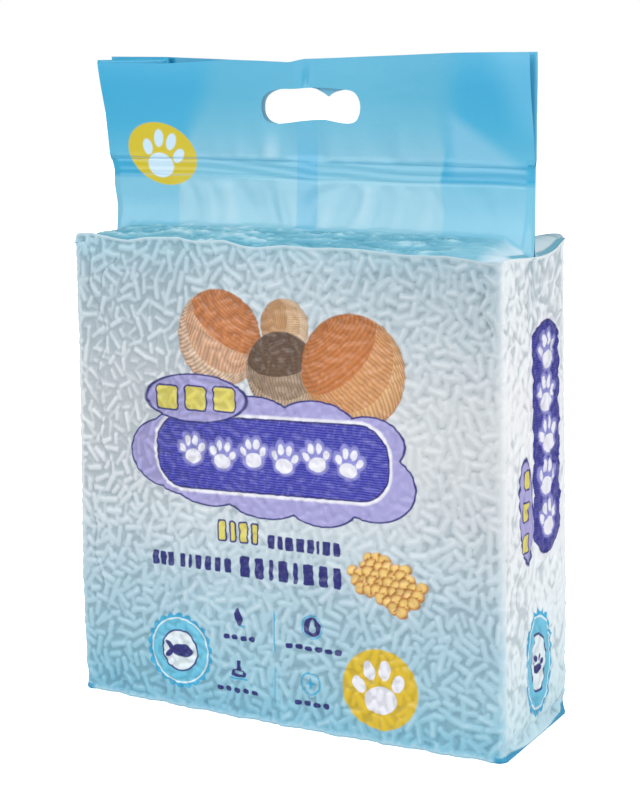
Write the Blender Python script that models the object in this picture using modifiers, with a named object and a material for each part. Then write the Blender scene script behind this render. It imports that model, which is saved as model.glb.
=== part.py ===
"""Vacuum packed bag of cat litter: a brick of pellets in a side gusset film bag with a carrying header.

Metres, +Z up, +Y towards the back. The origin is the middle of the base that the bag stands on.
The bag is one folded film tube round its contents, so it is one sealed solid.
"""

import math
import random

import bmesh
import bpy
from mathutils import Matrix, Vector

# Filled brick
BRICK_WIDTH = 0.273
BRICK_DEPTH = 0.087
BRICK_HEIGHT = 0.269
CORNER_RADIUS = 0.005
LEFT_NARROWING = 0.0070
RIGHT_NARROWING = 0.0012
CROWN = 0.0010
BASE_CROWN = 0.0022
BASE_CROWN_HEIGHT = 0.060
ROOF_RISE = 0.0055
ROOF_END_DROP = 0.6
CREASE_SAG_LEFT = 0.0020
CREASE_SAG_RIGHT = 0.0040
CREASE_WAVE = 0.0009
CREASE_TURN = 88.0
CREASE_RIPPLE = 0.6
CREASE_RIPPLE_TURN = 190.0
CREASE_START = 0.85
EDGE_SHARE = 0.125

# Pellets that show through the film
PELLET_LENGTH = 0.015
PELLET_RADIUS = 0.0028
PELLET_PITCH = 0.0085
RELIEF_DEPTH = 0.0016
MESH_PITCH = 0.0078
MESH_JITTER = 0.0016

# Header above the brick
HEADER_HEIGHT = 0.097
HEADER_WIDTH = 0.262
HEADER_FLARE = 0.0024
HEADER_SHIFT = 0.0030
FILM = 0.0008
LAYER_GAP = 0.0005
NECK_FOOT = 0.0045
NECK_SINK = 0.008
NECK_BLEND = 0.006
SEAL_RISE = 0.0315
SEAL_HEIGHT = 0.009
SIDE_OPENING = 0.0035
MIDDLE_OPENING = 0.0006
HEADER_SWAY = 0.0018
SWAY_TURN = 21.0
SWAY_START = 0.6
SWAY_RIPPLE = 0.4
SWAY_RIPPLE_TURN = 55.0

# Die cut handle
HANDLE_WIDTH = 0.059
HANDLE_END_RADIUS = 0.0095
HANDLE_WAIST = 0.0022
HANDLE_DROP = 0.027
PUCKER_DROP = 0.0035
PUCKER_WIDTH = 0.020
PUCKER_SIDE = 0.007
HANDLE_SIDE = 0.0035
HANDLE_CUT_REACH = 0.03

# Folds at both ends of the top and the base
TOP_TUCK_MOUTH = 0.0050
TOP_TUCK_DROP = 0.0040
TOP_TUCK_SHARE = 0.9
BASE_TUCK_MOUTH = 0.0040
BASE_TUCK_SHARE = 0.42
BASE_TUCK_REACH = 0.6
BASE_LIP = 0.0016
TUCK_START = 0.004
WAIST_HEIGHT = 0.0070
WAIST_DEPTH = 0.0022

# Lengthwise back seam and cross seal of the base
SEAM_WIDTH = 0.012
SEAM_RISE = 0.0006
SEAM_STEP = 0.0008
BASE_SEAL_WIDTH = 0.012
GROOVE_WIDTH = 0.0012
GROOVE_DEPTH = 0.0008
GROOVE_INSET = 0.004

SEED = 7
OVERLAP = 0.003
COLOUR = (0.52, 0.76, 0.87, 1.0)

HALF_WIDTH = BRICK_WIDTH / 2
HALF_DEPTH = BRICK_DEPTH / 2
ROOF_TOP = BRICK_HEIGHT + ROOF_RISE
HEADER_TOP = BRICK_HEIGHT + HEADER_HEIGHT
HEADER_HALF_WIDTH = HEADER_WIDTH / 2
SEAL_BASE = BRICK_HEIGHT + SEAL_RISE
SEAL_TOP = SEAL_BASE + SEAL_HEIGHT
LAYER_PITCH = FILM + LAYER_GAP
SEALED_HALF = 1.5 * LAYER_PITCH + FILM / 2


def clear_scene():
    for old in list(bpy.data.objects):
        bpy.data.objects.remove(old, do_unlink=True)


def new_collection(name):
    collection = bpy.data.collections.new(name)
    bpy.context.scene.collection.children.link(collection)
    return collection


def new_object(name, mesh, collection):
    made = bpy.data.objects.new(name, mesh)
    collection.objects.link(made)
    return made


def film_material():
    film = bpy.data.materials.new("printed_film")
    film.use_nodes = True
    shader = film.node_tree.nodes["Principled BSDF"]
    shader.inputs["Base Color"].default_value = COLOUR
    shader.inputs["Roughness"].default_value = 0.38
    shader.inputs["Metallic"].default_value = 0.0
    return film


def spaced(low, high, pitch):
    """Evenly spaced places strictly between low and high, about a pitch apart."""
    steps = max(2, round((high - low) / pitch))
    return [low + (high - low) * i / steps for i in range(1, steps)]


def gridded_box(low, high, cuts, round_upright=0.0):
    """A box bmesh from corner to corner, cut into a grid at the places given for each axis."""
    bm = bmesh.new()
    size = [h - l for l, h in zip(low, high)]
    middle = Vector([(h + l) / 2 for l, h in zip(low, high)])
    bmesh.ops.create_cube(bm, size=1.0, matrix=Matrix.Translation(middle) @ Matrix.Diagonal((*size, 1.0)))
    if round_upright:
        upright = [e for e in bm.edges if abs(e.verts[0].co.z - e.verts[1].co.z) > size[2] / 2]
        bmesh.ops.bevel(bm, geom=upright, offset=round_upright, segments=2, profile=0.5, affect="EDGES")
    for axis, places in enumerate(cuts):
        normal = Vector([1.0 if i == axis else 0.0 for i in range(3)])
        for place in places:
            everything = bm.verts[:] + bm.edges[:] + bm.faces[:]
            bmesh.ops.bisect_plane(bm, geom=everything, plane_co=normal * place, plane_no=normal)
    return bm


def mesh_from(bm, name):
    mesh = bpy.data.meshes.new(name)
    bmesh.ops.recalc_face_normals(bm, faces=bm.faces[:])
    bm.to_mesh(mesh)
    bm.free()
    return mesh


class PelletBed:
    """Short rods in jittered cells under the film, which is drawn down between them."""

    def __init__(self, seed):
        self.seed = seed
        self.rods = {}

    def rod(self, cell):
        """Middle and direction of the rod in this cell."""
        if cell not in self.rods:
            random.seed(hash((self.seed, *cell)))
            middle = Vector([(c + random.random()) * PELLET_PITCH for c in cell])
            along = Vector([random.gauss(0.0, 1.0) for _ in range(3)]).normalized()
            self.rods[cell] = (middle, along)
        return self.rods[cell]

    def distance(self, point):
        """Distance from a point to the nearest rod's middle line."""
        home = [math.floor(v / PELLET_PITCH) for v in point]
        nearest = PELLET_PITCH
        for dx in (-1, 0, 1):
            for dy in (-1, 0, 1):
                for dz in (-1, 0, 1):
                    middle, along = self.rod((home[0] + dx, home[1] + dy, home[2] + dz))
                    reach = (point - middle).dot(along)
                    reach = max(-PELLET_LENGTH / 2, min(PELLET_LENGTH / 2, reach))
                    nearest = min(nearest, (point - middle - along * reach).length)
        return nearest

    def sink(self, point):
        """How far the film is drawn in at a point: none over a rod, the full depth between rods."""
        share = min(1.0, self.distance(point) / PELLET_RADIUS / 1.5)
        return RELIEF_DEPTH * share * share


def crease_wave(x):
    """Rise and fall of the top creases along the brick, lowest at the corners."""
    sag = CREASE_SAG_RIGHT if x > 0.0 else CREASE_SAG_LEFT
    wave = math.sin(x * CREASE_TURN) + CREASE_RIPPLE * math.sin(x * CREASE_RIPPLE_TURN + 1.0)
    return CREASE_WAVE * wave - sag * (x / HALF_WIDTH) ** 4


def smooth_step(share):
    share = max(0.0, min(1.0, share))
    return share * share * (3.0 - 2.0 * share)


def crown(x, z):
    """How far the front and the back bulge out: little at the top, most at the foot of their middle."""
    low = smooth_step(1.0 - z / BASE_CROWN_HEIGHT)
    return (CROWN + BASE_CROWN * low) * (1.0 - (x / HALF_WIDTH) ** 2)


def side_waist(z):
    """How far both sides draw in just above the base, where the gusset is tucked under."""
    if z > 3 * WAIST_HEIGHT:
        return 0.0
    if z < WAIST_HEIGHT:
        return WAIST_DEPTH * smooth_step(z / WAIST_HEIGHT)
    return WAIST_DEPTH * (1.0 - smooth_step((z - WAIST_HEIGHT) / (2 * WAIST_HEIGHT)))


def brick_cuts():
    """Grid lines of the brick's skin, with close pairs beside the back seam and near the base."""
    seam_edge = SEAM_WIDTH / 2 - SEAM_STEP
    right = [seam_edge, SEAM_WIDTH / 2, *spaced(SEAM_WIDTH / 2, HALF_WIDTH, MESH_PITCH)]
    across = [-x for x in reversed(right)] + [0.0] + right
    levels = [WAIST_HEIGHT / 2, WAIST_HEIGHT, *spaced(WAIST_HEIGHT, BRICK_HEIGHT, MESH_PITCH)]
    return across, spaced(-HALF_DEPTH, HALF_DEPTH, MESH_PITCH), levels


def skin_shift(point, normal):
    """Random move within the skin so that the grid does not show, away from edges and the seam."""
    room = sorted((HALF_WIDTH - abs(point.x), HALF_DEPTH - abs(point.y), BRICK_HEIGHT - point.z))
    if room[1] < MESH_PITCH or point.z < 2 * WAIST_HEIGHT or abs(point.x) < SEAM_WIDTH:
        return Vector()
    shift = Vector([random.uniform(-MESH_JITTER, MESH_JITTER) for _ in range(3)])
    return shift - normal * shift.dot(normal)


def filled_brick():
    """The vacuum tight brick: a gridded box whose skin sinks between the pellets."""
    low = (-HALF_WIDTH, -HALF_DEPTH, 0.0)
    bm = gridded_box(low, (HALF_WIDTH, HALF_DEPTH, BRICK_HEIGHT), brick_cuts(), CORNER_RADIUS)
    bm.normal_update()
    bed = PelletBed(SEED)
    moves = []
    for v in bm.verts:
        x, y, z = v.co
        on_base = z < 1e-6
        on_top = z > BRICK_HEIGHT - 1e-6
        edge = min(HALF_WIDTH - abs(x), HALF_DEPTH - abs(y))
        sink = 0.0 if on_base else bed.sink(v.co)
        if on_top and edge < MESH_PITCH / 2:
            sink = 0.0
        on_seam = y > HALF_DEPTH - 1e-6 and abs(x) < SEAM_WIDTH / 2 + 1e-6
        to = v.co - v.normal * (0.0 if on_seam else sink)
        if on_seam and abs(x) < SEAM_WIDTH / 2 - 1e-6:
            to.y += SEAM_RISE
        to += skin_shift(v.co, v.normal)
        if on_top:
            ends = 1.0 - ROOF_END_DROP * (x / HALF_WIDTH) ** 6
            to.z += ROOF_RISE * ends * (1.0 - abs(y) / HALF_DEPTH)
        height_share = z / BRICK_HEIGHT
        outer_share = (y / HALF_DEPTH) ** 2
        to.z += crease_wave(x) * outer_share * smooth_step((height_share - CREASE_START) / (1.0 - CREASE_START))
        narrowing = LEFT_NARROWING if x < 0.0 else RIGHT_NARROWING
        to.x *= 1.0 - narrowing / HALF_WIDTH * height_share
        to.x -= math.copysign(side_waist(z), x) * smooth_step(1.0 - (1.0 - abs(x) / HALF_WIDTH) / EDGE_SHARE)
        to.y += y / HALF_DEPTH * crown(x, z)
        moves.append((v, to))
    for v, to in moves:
        v.co = to
    flat_base = [f for f in bm.faces if all(v.co.z < 1e-6 for v in f.verts)]
    bmesh.ops.dissolve_faces(bm, faces=flat_base)
    skin = [f for f in bm.faces if len(f.verts) == 4]
    bmesh.ops.triangulate(bm, faces=skin, quad_method="BEAUTY")
    return mesh_from(bm, "filled_brick")


def header_sway(x, z):
    """Gentle wave of the whole header out of its plane, growing from the brick to the top edge."""
    share = header_share(z)
    wave = math.sin(x * SWAY_TURN + SWAY_START) + SWAY_RIPPLE * math.sin(x * SWAY_RIPPLE_TURN)
    return HEADER_SWAY * share * wave


def header_share(z):
    """0 where the header leaves the brick, 1 at its top edge."""
    return max(0.0, z - ROOF_TOP) / (HEADER_TOP - ROOF_TOP)


def header_edge(z):
    """Half width of the header, which flares a little upwards."""
    return HEADER_HALF_WIDTH + HEADER_FLARE * header_share(z)


def header_middle(z):
    """Sideways place of the header's middle: it leans back over the brick's middle as it rises."""
    return HEADER_SHIFT * (1.0 - header_share(z))


def neck_half(z):
    """Half thickness of the fused layers, from the foot on the brick to the pressed cross seal."""
    foot = (NECK_FOOT - SEALED_HALF) * math.exp(-max(0.0, z - ROOF_TOP) / NECK_BLEND)
    pressed = FILM / 2 if z > SEAL_BASE - 1e-6 else 0.0
    return SEALED_HALF + foot - pressed


def header_neck():
    """Neck and cross seal, where all layers of film lie tight together."""
    above = SEAL_TOP + OVERLAP
    base = ROOF_TOP - NECK_SINK
    levels = [*spaced(base, SEAL_BASE - FILM, MESH_PITCH), SEAL_BASE - FILM, SEAL_BASE]
    cuts = (spaced(-HEADER_HALF_WIDTH, HEADER_HALF_WIDTH, 2 * MESH_PITCH), (), levels)
    low = (-HEADER_HALF_WIDTH, -SEALED_HALF, base)
    bm = gridded_box(low, (HEADER_HALF_WIDTH, SEALED_HALF, above), cuts)
    for v in bm.verts:
        x, y, z = v.co
        x = header_middle(z) + x * header_edge(z) / HEADER_HALF_WIDTH
        y *= neck_half(z) / SEALED_HALF
        v.co = (x, y + header_sway(x, z), z)
    return mesh_from(bm, "header_neck")


def ply_offset(x, z):
    """Distance of the front and the back ply from the header's middle: closed at the seal, open above."""
    share = smooth_step((z - SEAL_TOP) / (HEADER_TOP - SEAL_TOP))
    side = (abs(x) / HEADER_HALF_WIDTH) ** 2
    return 1.5 * LAYER_PITCH + share * (MIDDLE_OPENING + (SIDE_OPENING - MIDDLE_OPENING) * side)


def fold(x, y_from, y_to, outward):
    """Half round fold of the film between two layers, without its end points."""
    radius = abs(y_to - y_from) / 2
    middle = (y_to + y_from) / 2
    points = []
    for i in (1, 2, 3):
        turn = math.pi * i / 4
        y = middle + (y_from - middle) * math.cos(turn)
        points.append((x + outward * radius * math.sin(turn), y))
    return points


def side_folds(edge, z):
    """Gusset at the right edge, from the front ply in to its crease and out to the back ply."""
    outer = ply_offset(edge, z)
    inner = outer - LAYER_PITCH
    crease = edge - HALF_DEPTH
    half_pitch = LAYER_PITCH / 2
    steps = 3
    layer = []
    for i in range(steps + 1):
        share = i / steps
        layer.append((edge + (crease - edge) * share, -(inner + (half_pitch - inner) * share)))
    points = fold(edge, -outer, -inner, 1.0) + layer
    points += fold(crease, -half_pitch, half_pitch, -1.0)
    points += [(x, -y) for x, y in reversed(layer)]
    points += fold(edge, inner, outer, 1.0)
    return points


def header_loop(z):
    """The film's line round the open header at one height, as seen from above."""
    edge = header_edge(z) - LAYER_PITCH / 2
    steps = 16
    front = []
    for i in range(steps + 1):
        x = edge * (2 * i / steps - 1)
        front.append((x, -ply_offset(x, z)))
    right = side_folds(edge, z)
    back = [(-x, -y) for x, y in front]
    left = [(-x, -y) for x, y in right]
    middle = header_middle(z)
    loop = []
    for x, y in front + right + back + left:
        loop.append(Vector((x + middle, y + header_sway(x + middle, z), z)))
    return loop


def header_plies():
    """Front and back ply with the gusset folded between them, open at the top: a loft up the header."""
    bm = bmesh.new()
    rings = []
    levels = [SEAL_TOP, *spaced(SEAL_TOP, HEADER_TOP, 2 * MESH_PITCH), HEADER_TOP]
    for z in levels:
        ring = [bm.verts.new(point) for point in header_loop(z)]
        rings.append([bm.edges.new((ring[i - 1], ring[i])) for i in range(len(ring))])
    for lower, upper in zip(rings, rings[1:]):
        bmesh.ops.bridge_loops(bm, edges=lower + upper)
    bmesh.ops.recalc_face_normals(bm, faces=bm.faces[:])
    return mesh_from(bm, "header_plies")


def handle_outline():
    """Die cut handle hole: round ends, a slightly waisted middle and a pucker in its top edge."""
    reach = HANDLE_WIDTH / 2 - HANDLE_END_RADIUS
    steps = 12
    top, end = [], []
    for i in range(steps + 1):
        x = -reach + 2 * reach * i / steps
        z = HANDLE_END_RADIUS - HANDLE_WAIST * math.cos(x / reach * math.pi / 2)
        pucker = max(0.0, 1.0 - abs(x - PUCKER_SIDE) / (PUCKER_WIDTH / 2))
        top.append((x, z - PUCKER_DROP * pucker))
    for i in range(1, 8):
        turn = math.pi / 2 - math.pi * i / 8
        end.append((reach + HANDLE_END_RADIUS * math.cos(turn), HANDLE_END_RADIUS * math.sin(turn)))
    bottom = []
    for i in range(steps + 1):
        x = reach - 2 * reach * i / steps
        bottom.append((x, -HANDLE_END_RADIUS + HANDLE_WAIST * math.cos(x / reach * math.pi / 2)))
    return top + end + bottom + [(-x, -z) for x, z in end]


def handle_cutter(collection):
    """Prism of the handle outline, through both plies."""
    curve = bpy.data.curves.new("handle_outline", "CURVE")
    curve.dimensions = "2D"
    curve.fill_mode = "BOTH"
    curve.extrude = HANDLE_CUT_REACH
    points = handle_outline()
    spline = curve.splines.new("POLY")
    spline.points.add(len(points) - 1)
    for slot, (x, z) in zip(spline.points, points):
        slot.co = (x, z, 0.0, 1.0)
    spline.use_cyclic_u = True
    outline = bpy.data.objects.new("handle_outline", curve)
    collection.objects.link(outline)
    outline.location = (HANDLE_SIDE, 0.0, HEADER_TOP - HANDLE_DROP)
    outline.rotation_euler = (math.pi / 2, 0.0, 0.0)
    bpy.context.view_layer.update()
    evaluated = outline.evaluated_get(bpy.context.evaluated_depsgraph_get())
    mesh = bpy.data.meshes.new_from_object(evaluated)
    mesh.transform(outline.matrix_world)
    bpy.data.objects.remove(outline)
    bm = bmesh.new()
    bm.from_mesh(mesh)
    bmesh.ops.remove_doubles(bm, verts=bm.verts[:], dist=1e-6)
    bmesh.ops.recalc_face_normals(bm, faces=bm.faces[:])
    bm.to_mesh(mesh)
    bm.free()
    return new_object("handle_cutter", mesh, collection)


def wedge_cutter(name, side, y, z, half_y, half_z, reach, collection):
    """Four sided wedge that opens the tuck of a side gusset: widest at the side, a point inside."""
    bm = bmesh.new()
    bmesh.ops.create_cone(bm, cap_ends=True, segments=4, radius1=1.0, radius2=0.0, depth=1.0)
    depth = reach + TUCK_START
    turned = Matrix.Rotation(-side * math.pi / 2, 4, "Y")
    across = Matrix.Diagonal((depth, half_y, half_z, 1.0))
    middle = Matrix.Translation((side * (HALF_WIDTH + TUCK_START - depth / 2), y, z))
    squared = Matrix.Rotation(math.pi / 4, 4, "Z")
    bmesh.ops.transform(bm, matrix=middle @ across @ turned @ squared, verts=bm.verts[:])
    return new_object(name, mesh_from(bm, name), collection)


def tuck_cutters(collection):
    """The open folds of both side gussets: one at each end of the top, two at each end of the base."""
    made = []
    for side, word in ((-1.0, "left"), (1.0, "right")):
        top_z = BRICK_HEIGHT - TOP_TUCK_DROP
        made.append(
            wedge_cutter(
                f"top_tuck_{word}", side, 0.0, top_z, HALF_DEPTH * TOP_TUCK_SHARE, TOP_TUCK_MOUTH / 2,
                HALF_DEPTH * TOP_TUCK_SHARE, collection,
            )
        )
        base_z = BASE_LIP + BASE_TUCK_MOUTH / 2
        for end, where in ((-1.0, "front"), (1.0, "back")):
            made.append(
                wedge_cutter(
                    f"base_tuck_{where}_{word}", side, end * HALF_DEPTH / 2, base_z, HALF_DEPTH * BASE_TUCK_SHARE,
                    BASE_TUCK_MOUTH / 2, HALF_DEPTH * BASE_TUCK_REACH, collection,
                )
            )
    return made


def groove_cutter(name, start, end, collection):
    """Shallow straight groove in the flat base from one point to another."""
    start, end = Vector((*start, 0.0)), Vector((*end, 0.0))
    run = end - start
    bm = bmesh.new()
    size = Matrix.Diagonal((run.length, GROOVE_WIDTH, 2 * GROOVE_DEPTH, 1.0))
    turn = Matrix.Rotation(math.atan2(run.y, run.x), 4, "Z")
    bmesh.ops.create_cube(bm, size=1.0, matrix=Matrix.Translation((start + end) / 2) @ turn @ size)
    return new_object(name, mesh_from(bm, name), collection)


def base_grooves(collection):
    """Outline of the folded cross seal and the slanting folds of both gussets under the bag."""
    run = HALF_WIDTH - GROOVE_INSET
    made = []
    for word, y in (("root", -BASE_SEAL_WIDTH / 2), ("edge", BASE_SEAL_WIDTH / 2)):
        made.append(groove_cutter(f"seal_{word}_groove", (-run, y), (run, y), collection))
    start = BASE_SEAL_WIDTH / 2 + GROOVE_INSET
    for side, word in ((-1.0, "left"), (1.0, "right")):
        for end, where in ((-1.0, "front"), (1.0, "back")):
            outer = (side * run, end * (HALF_DEPTH - GROOVE_INSET))
            inner = (side * (HALF_WIDTH - HALF_DEPTH + start), end * start)
            made.append(groove_cutter(f"gusset_groove_{where}_{word}", outer, inner, collection))
    return made


def seam_line():
    """Points up the back of the header for the inside of the lap seam's strip."""
    foot = ROOF_TOP + NECK_BLEND / 2
    points = []
    for z in (foot, *spaced(foot, SEAL_BASE, 2 * MESH_PITCH), SEAL_BASE, SEAL_TOP):
        points.append(Vector((0.0, header_sway(0.0, z) + neck_half(z) - FILM / 2, z)))
    for z in (*spaced(SEAL_TOP, HEADER_TOP, 2 * MESH_PITCH), HEADER_TOP - SEAM_RISE):
        points.append(Vector((0.0, header_sway(0.0, z) + ply_offset(0.0, z), z)))
    return points


def header_seam():
    """Lengthwise lap seam: a flat strip that follows the back of the header up to the top edge."""
    bm = bmesh.new()
    line = [bm.verts.new(point + Vector((-SEAM_WIDTH / 2, 0.0, 0.0))) for point in seam_line()]
    edges = [bm.edges.new(pair) for pair in zip(line, line[1:])]
    grown = bmesh.ops.extrude_edge_only(bm, edges=edges)
    moved = [v for v in grown["geom"] if isinstance(v, bmesh.types.BMVert)]
    bmesh.ops.translate(bm, vec=(SEAM_WIDTH, 0.0, 0.0), verts=moved)
    bmesh.ops.translate(bm, vec=(0.0, SEAM_RISE / 2, 0.0), verts=bm.verts[:])
    return mesh_from(bm, "header_seam")


def add_solidify(obj, thickness):
    wall = obj.modifiers.new("film_wall", "SOLIDIFY")
    wall.thickness = thickness
    wall.offset = 0.0
    wall.use_even_offset = True


def helper(obj):
    obj.hide_render = True
    obj.display_type = "WIRE"


def join(bag, other):
    union = bag.modifiers.new(f"join_{other.name}", "BOOLEAN")
    union.operation = "UNION"
    union.object = other


def cut(bag, other):
    difference = bag.modifiers.new(f"cut_{other.name}", "BOOLEAN")
    difference.operation = "DIFFERENCE"
    difference.object = other


def build_bag():
    clear_scene()
    parts = new_collection("cat_litter_bag")
    helpers = new_collection("helpers")
    bag = new_object("litter_bag", filled_brick(), parts)
    neck = new_object("header_neck", header_neck(), helpers)
    plies = new_object("header_plies", header_plies(), helpers)
    seam = new_object("header_seam", header_seam(), helpers)
    add_solidify(plies, FILM)
    add_solidify(seam, FILM + SEAM_RISE)
    for piece in (neck, plies, seam):
        helper(piece)
        join(bag, piece)
    cutters = [handle_cutter(helpers), *tuck_cutters(helpers), *base_grooves(helpers)]
    for cutter in cutters:
        helper(cutter)
        cut(bag, cutter)
    bag.data.materials.append(film_material())
    bag.data.shade_smooth()
    bag.data.set_sharp_from_angle(angle=math.radians(50.0))


build_bag()
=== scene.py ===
"""Cat litter bag: the looks of one sealed film bag, vacuum tight on its pellets, with a carrying header.

Every length in the shape tables is in millimetres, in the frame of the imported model: the origin is the
middle of the base, x runs along the front, y towards the back and z up.
"""

import math

import bmesh
import bpy
import numpy as np
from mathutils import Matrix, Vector

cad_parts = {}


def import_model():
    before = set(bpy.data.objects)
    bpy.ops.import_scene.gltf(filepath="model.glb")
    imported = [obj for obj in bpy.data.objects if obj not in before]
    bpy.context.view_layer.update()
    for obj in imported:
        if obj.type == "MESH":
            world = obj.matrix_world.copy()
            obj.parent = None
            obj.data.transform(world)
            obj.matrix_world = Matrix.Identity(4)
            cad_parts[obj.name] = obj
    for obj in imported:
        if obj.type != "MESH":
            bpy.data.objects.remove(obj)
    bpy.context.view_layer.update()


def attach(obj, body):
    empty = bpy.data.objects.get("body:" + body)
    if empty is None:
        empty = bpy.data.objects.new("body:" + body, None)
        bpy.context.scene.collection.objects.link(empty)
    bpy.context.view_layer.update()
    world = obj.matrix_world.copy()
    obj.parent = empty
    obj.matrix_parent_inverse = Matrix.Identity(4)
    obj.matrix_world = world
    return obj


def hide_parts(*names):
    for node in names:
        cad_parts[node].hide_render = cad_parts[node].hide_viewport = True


bl_info = {
    "name": "Cat litter bag",
    "version": (1, 0, 0),
    "blender": (4, 5, 0),
    "location": "View3D > Sidebar > Litter bag",
    "description": "Makes a vacuum packed litter bag of printed film, piece by piece",
    "category": "Add Mesh",
}

MM = 0.001
NODE = "litter_bag"

# Brick: its box, and the measured lines of its edges and top creases as (places, values)
HALF_WIDTH = 136.5
HALF_DEPTH = 43.5
BRICK_TOP = 269.0
CORNER = 5.0
WALL_FOOT = 1.8
SEAM_HALF = 6.0
LEFT_EDGE = ((0, 40, 80, 120, 160, 200, 250, 269), (-137.2, -137.2, -136.5, -135.0, -133.7, -132.4, -131.1, -130.6))
RIGHT_EDGE = ((0, 60, 269), (136.0, 136.2, 135.0))
DEPTH_AT = ((0, 60, 269), (43.5, 43.4, 42.3))
FRONT_CREASE = (
    (-136, -127, -117, -101, -92, -79, -58, -48, -28, -16, -8, 8, 27, 37, 54, 82, 104, 118, 127, 136),
    (270.2, 270.9, 271.6, 269.1, 268.3, 270.5, 271.2, 269.4, 270.7, 267.9,
     267.4, 269.3, 268.5, 269.1, 269.0, 267.0, 267.4, 266.0, 264.6, 265.0),
)
SIDE_CREASE = (
    (-43.5, -34, -24, -10, 5, 18, 28, 36, 43.5),
    (265.0, 265.8, 265.0, 263.6, 262.4, 262.6, 264.4, 267.2, 268.6),
)

# Pellets: how often rods are dropped in each layer, how deep it lies, and the share of a rod that may cover others
ROD_LAYERS = ((65000, 0.0, 0.07), (36000, -0.35, 0.5))
ROD_AREA = 194000.0
BED_FLOOR = -1.2
DRAW_ROUNDS = 11
FIELD_HEIGHT = 284.0
FIELD_MARGIN = 4.0

# Header: roof, cross seal, edges, top edges of both plies and the handle hole
ROOF_RISE = 5.5
ROOF_EDGE, ROOF_RUN = 41.6, 38.4
ROOF_ENDS = (-130.2, 134.6)
ROOF_ROWS = 34
HEADER_FOOT = 268.0
NECK_ROWS, SEAL_ROWS, PLY_ROWS = 28, 11, 58
HEADER_COLS = 266
SEAL_LOW = (
    (-132, -70, -43, -11, 2, 21, 57, 81, 110, 134),
    (302.2, 302.8, 301.9, 300.3, 299.5, 300.4, 299.6, 300.1, 300.3, 299.3),
)
SEAL_HIGH = (
    (-132, -70, -50, -10, 15, 57, 81, 110, 134),
    (310.3, 310.4, 310.1, 309.9, 309.5, 309.2, 309.6, 308.5, 307.7),
)
HEADER_LEFT = (
    (268, 276, 283, 296, 304, 311, 320, 338, 352, 368),
    (-129.4, -128.4, -127.9, -129.4, -128.7, -130.6, -130.8, -130.7, -131.9, -133.2),
)
HEADER_RIGHT = ((268, 290, 309, 323, 344, 368), (134.2, 134.7, 134.9, 134.7, 134.0, 133.6))
FRONT_TOP = (
    (-133, -110, -88, -66, -46, -26, -9, -4, 0, 18, 36, 60, 77, 91, 117, 134),
    (365.1, 364.6, 363.9, 364.8, 365.6, 364.8, 363.8, 364.8, 365.5, 365.8, 366.3, 366.9, 367.4, 367.8, 367.8, 367.5),
)
BACK_TOP = (
    (-133, -95, -62, -40, -26, -9, 0, 36, 60, 133),
    (368.0, 367.4, 366.0, 365.0, 363.8, 362.9, 364.6, 365.4, 366.0, 367.3),
)
FRONT_HOLE = (
    (-26.9, 341.0), (-26.6, 335.8), (-24.2, 332.0), (-19.0, 330.6), (-12.0, 331.0), (-3.0, 332.2), (5.0, 332.8),
    (11.5, 333.1), (16.0, 332.2), (25.0, 330.7), (30.5, 331.6), (32.8, 335.0), (34.0, 339.6), (33.0, 344.4),
    (30.0, 348.0), (25.0, 349.0), (17.0, 349.6), (8.0, 350.2), (1.0, 350.0), (-6.0, 349.4), (-14.0, 349.6),
    (-20.5, 348.6), (-25.6, 345.6),
)
BACK_HOLE = (
    (-27.0, 341.3), (-26.6, 335.5), (-22.5, 331.4), (-14.0, 329.6), (-4.0, 331.0), (8.0, 331.6), (20.0, 330.6),
    (31.0, 330.4), (37.5, 335.0), (38.5, 340.5), (36.4, 346.4), (31.0, 349.6), (22.5, 348.9), (17.0, 347.8),
    (14.0, 346.4), (12.4, 344.9), (10.6, 346.4), (8.0, 347.8), (4.0, 349.6), (-3.0, 350.4), (-12.0, 350.2),
    (-20.6, 348.6), (-25.4, 345.4),
)

# Stage
SOFT_BOXES = (
    ("soft_box_right", (1.75, -0.35, 0.75), 1.5, 16.4),
    ("soft_box_front", (-0.95, -2.0, 0.95), 1.5, 23.0),
    ("soft_box_above", (0.1, -0.2, 2.1), 1.4, 9.0),
)
AIM = (0.0, 0.0, 0.17)
CAMERA_PLACE = (0.5161, -0.8954, 0.3871)
CAMERA_TURN = (1.3695, 0.0236, 0.5149)
LENS = 84.58
FRAME_SHIFT = (0.0011, 0.0015)
WORLD_LIGHT = 0.48
FLOOR_TO_CAMERA = 2.9


def smooth(share):
    """Ease from 0 to 1."""
    share = np.clip(share, 0.0, 1.0)
    return share * share * (3.0 - 2.0 * share)


def table(values, at):
    """Value of a measured line at a place, with its corners eased."""
    places, heights = values
    reach = 1.5
    return sum(np.interp(at + shift, places, heights) for shift in (-reach, -reach / 2, 0, reach / 2, reach)) / 5


def random_field(rows, cols, grain_up, grain_across, seed):
    """Smooth random heights of unit spread that close on themselves, with grains of that many steps."""
    white = np.random.default_rng(seed).standard_normal((rows, cols))
    up = np.fft.fftfreq(rows)[:, None] * grain_up
    across = np.fft.fftfreq(cols)[None, :] * grain_across
    field = np.fft.ifft2(np.fft.fft2(white) * np.exp(-2.0 * math.pi * (up**2 + across**2))).real
    return field / field.std()


def creases(rows, cols, grain_up, grain_across, seed):
    """Thin raised lines where two random fields cross, between 0 and 1."""
    field = random_field(rows, cols, grain_up, grain_across, seed)
    return np.clip(1.0 - np.abs(field) * 2.2, 0.0, 1.0) ** 2


def spread(field):
    """One light blur of a field that closes on itself sideways."""
    field = (np.roll(field, 1, 1) + np.roll(field, -1, 1)) / 4 + field / 2
    padded = np.pad(field, ((1, 1), (0, 0)), mode="edge")
    return (padded[2:] + padded[:-2]) / 4 + field / 2


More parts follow.
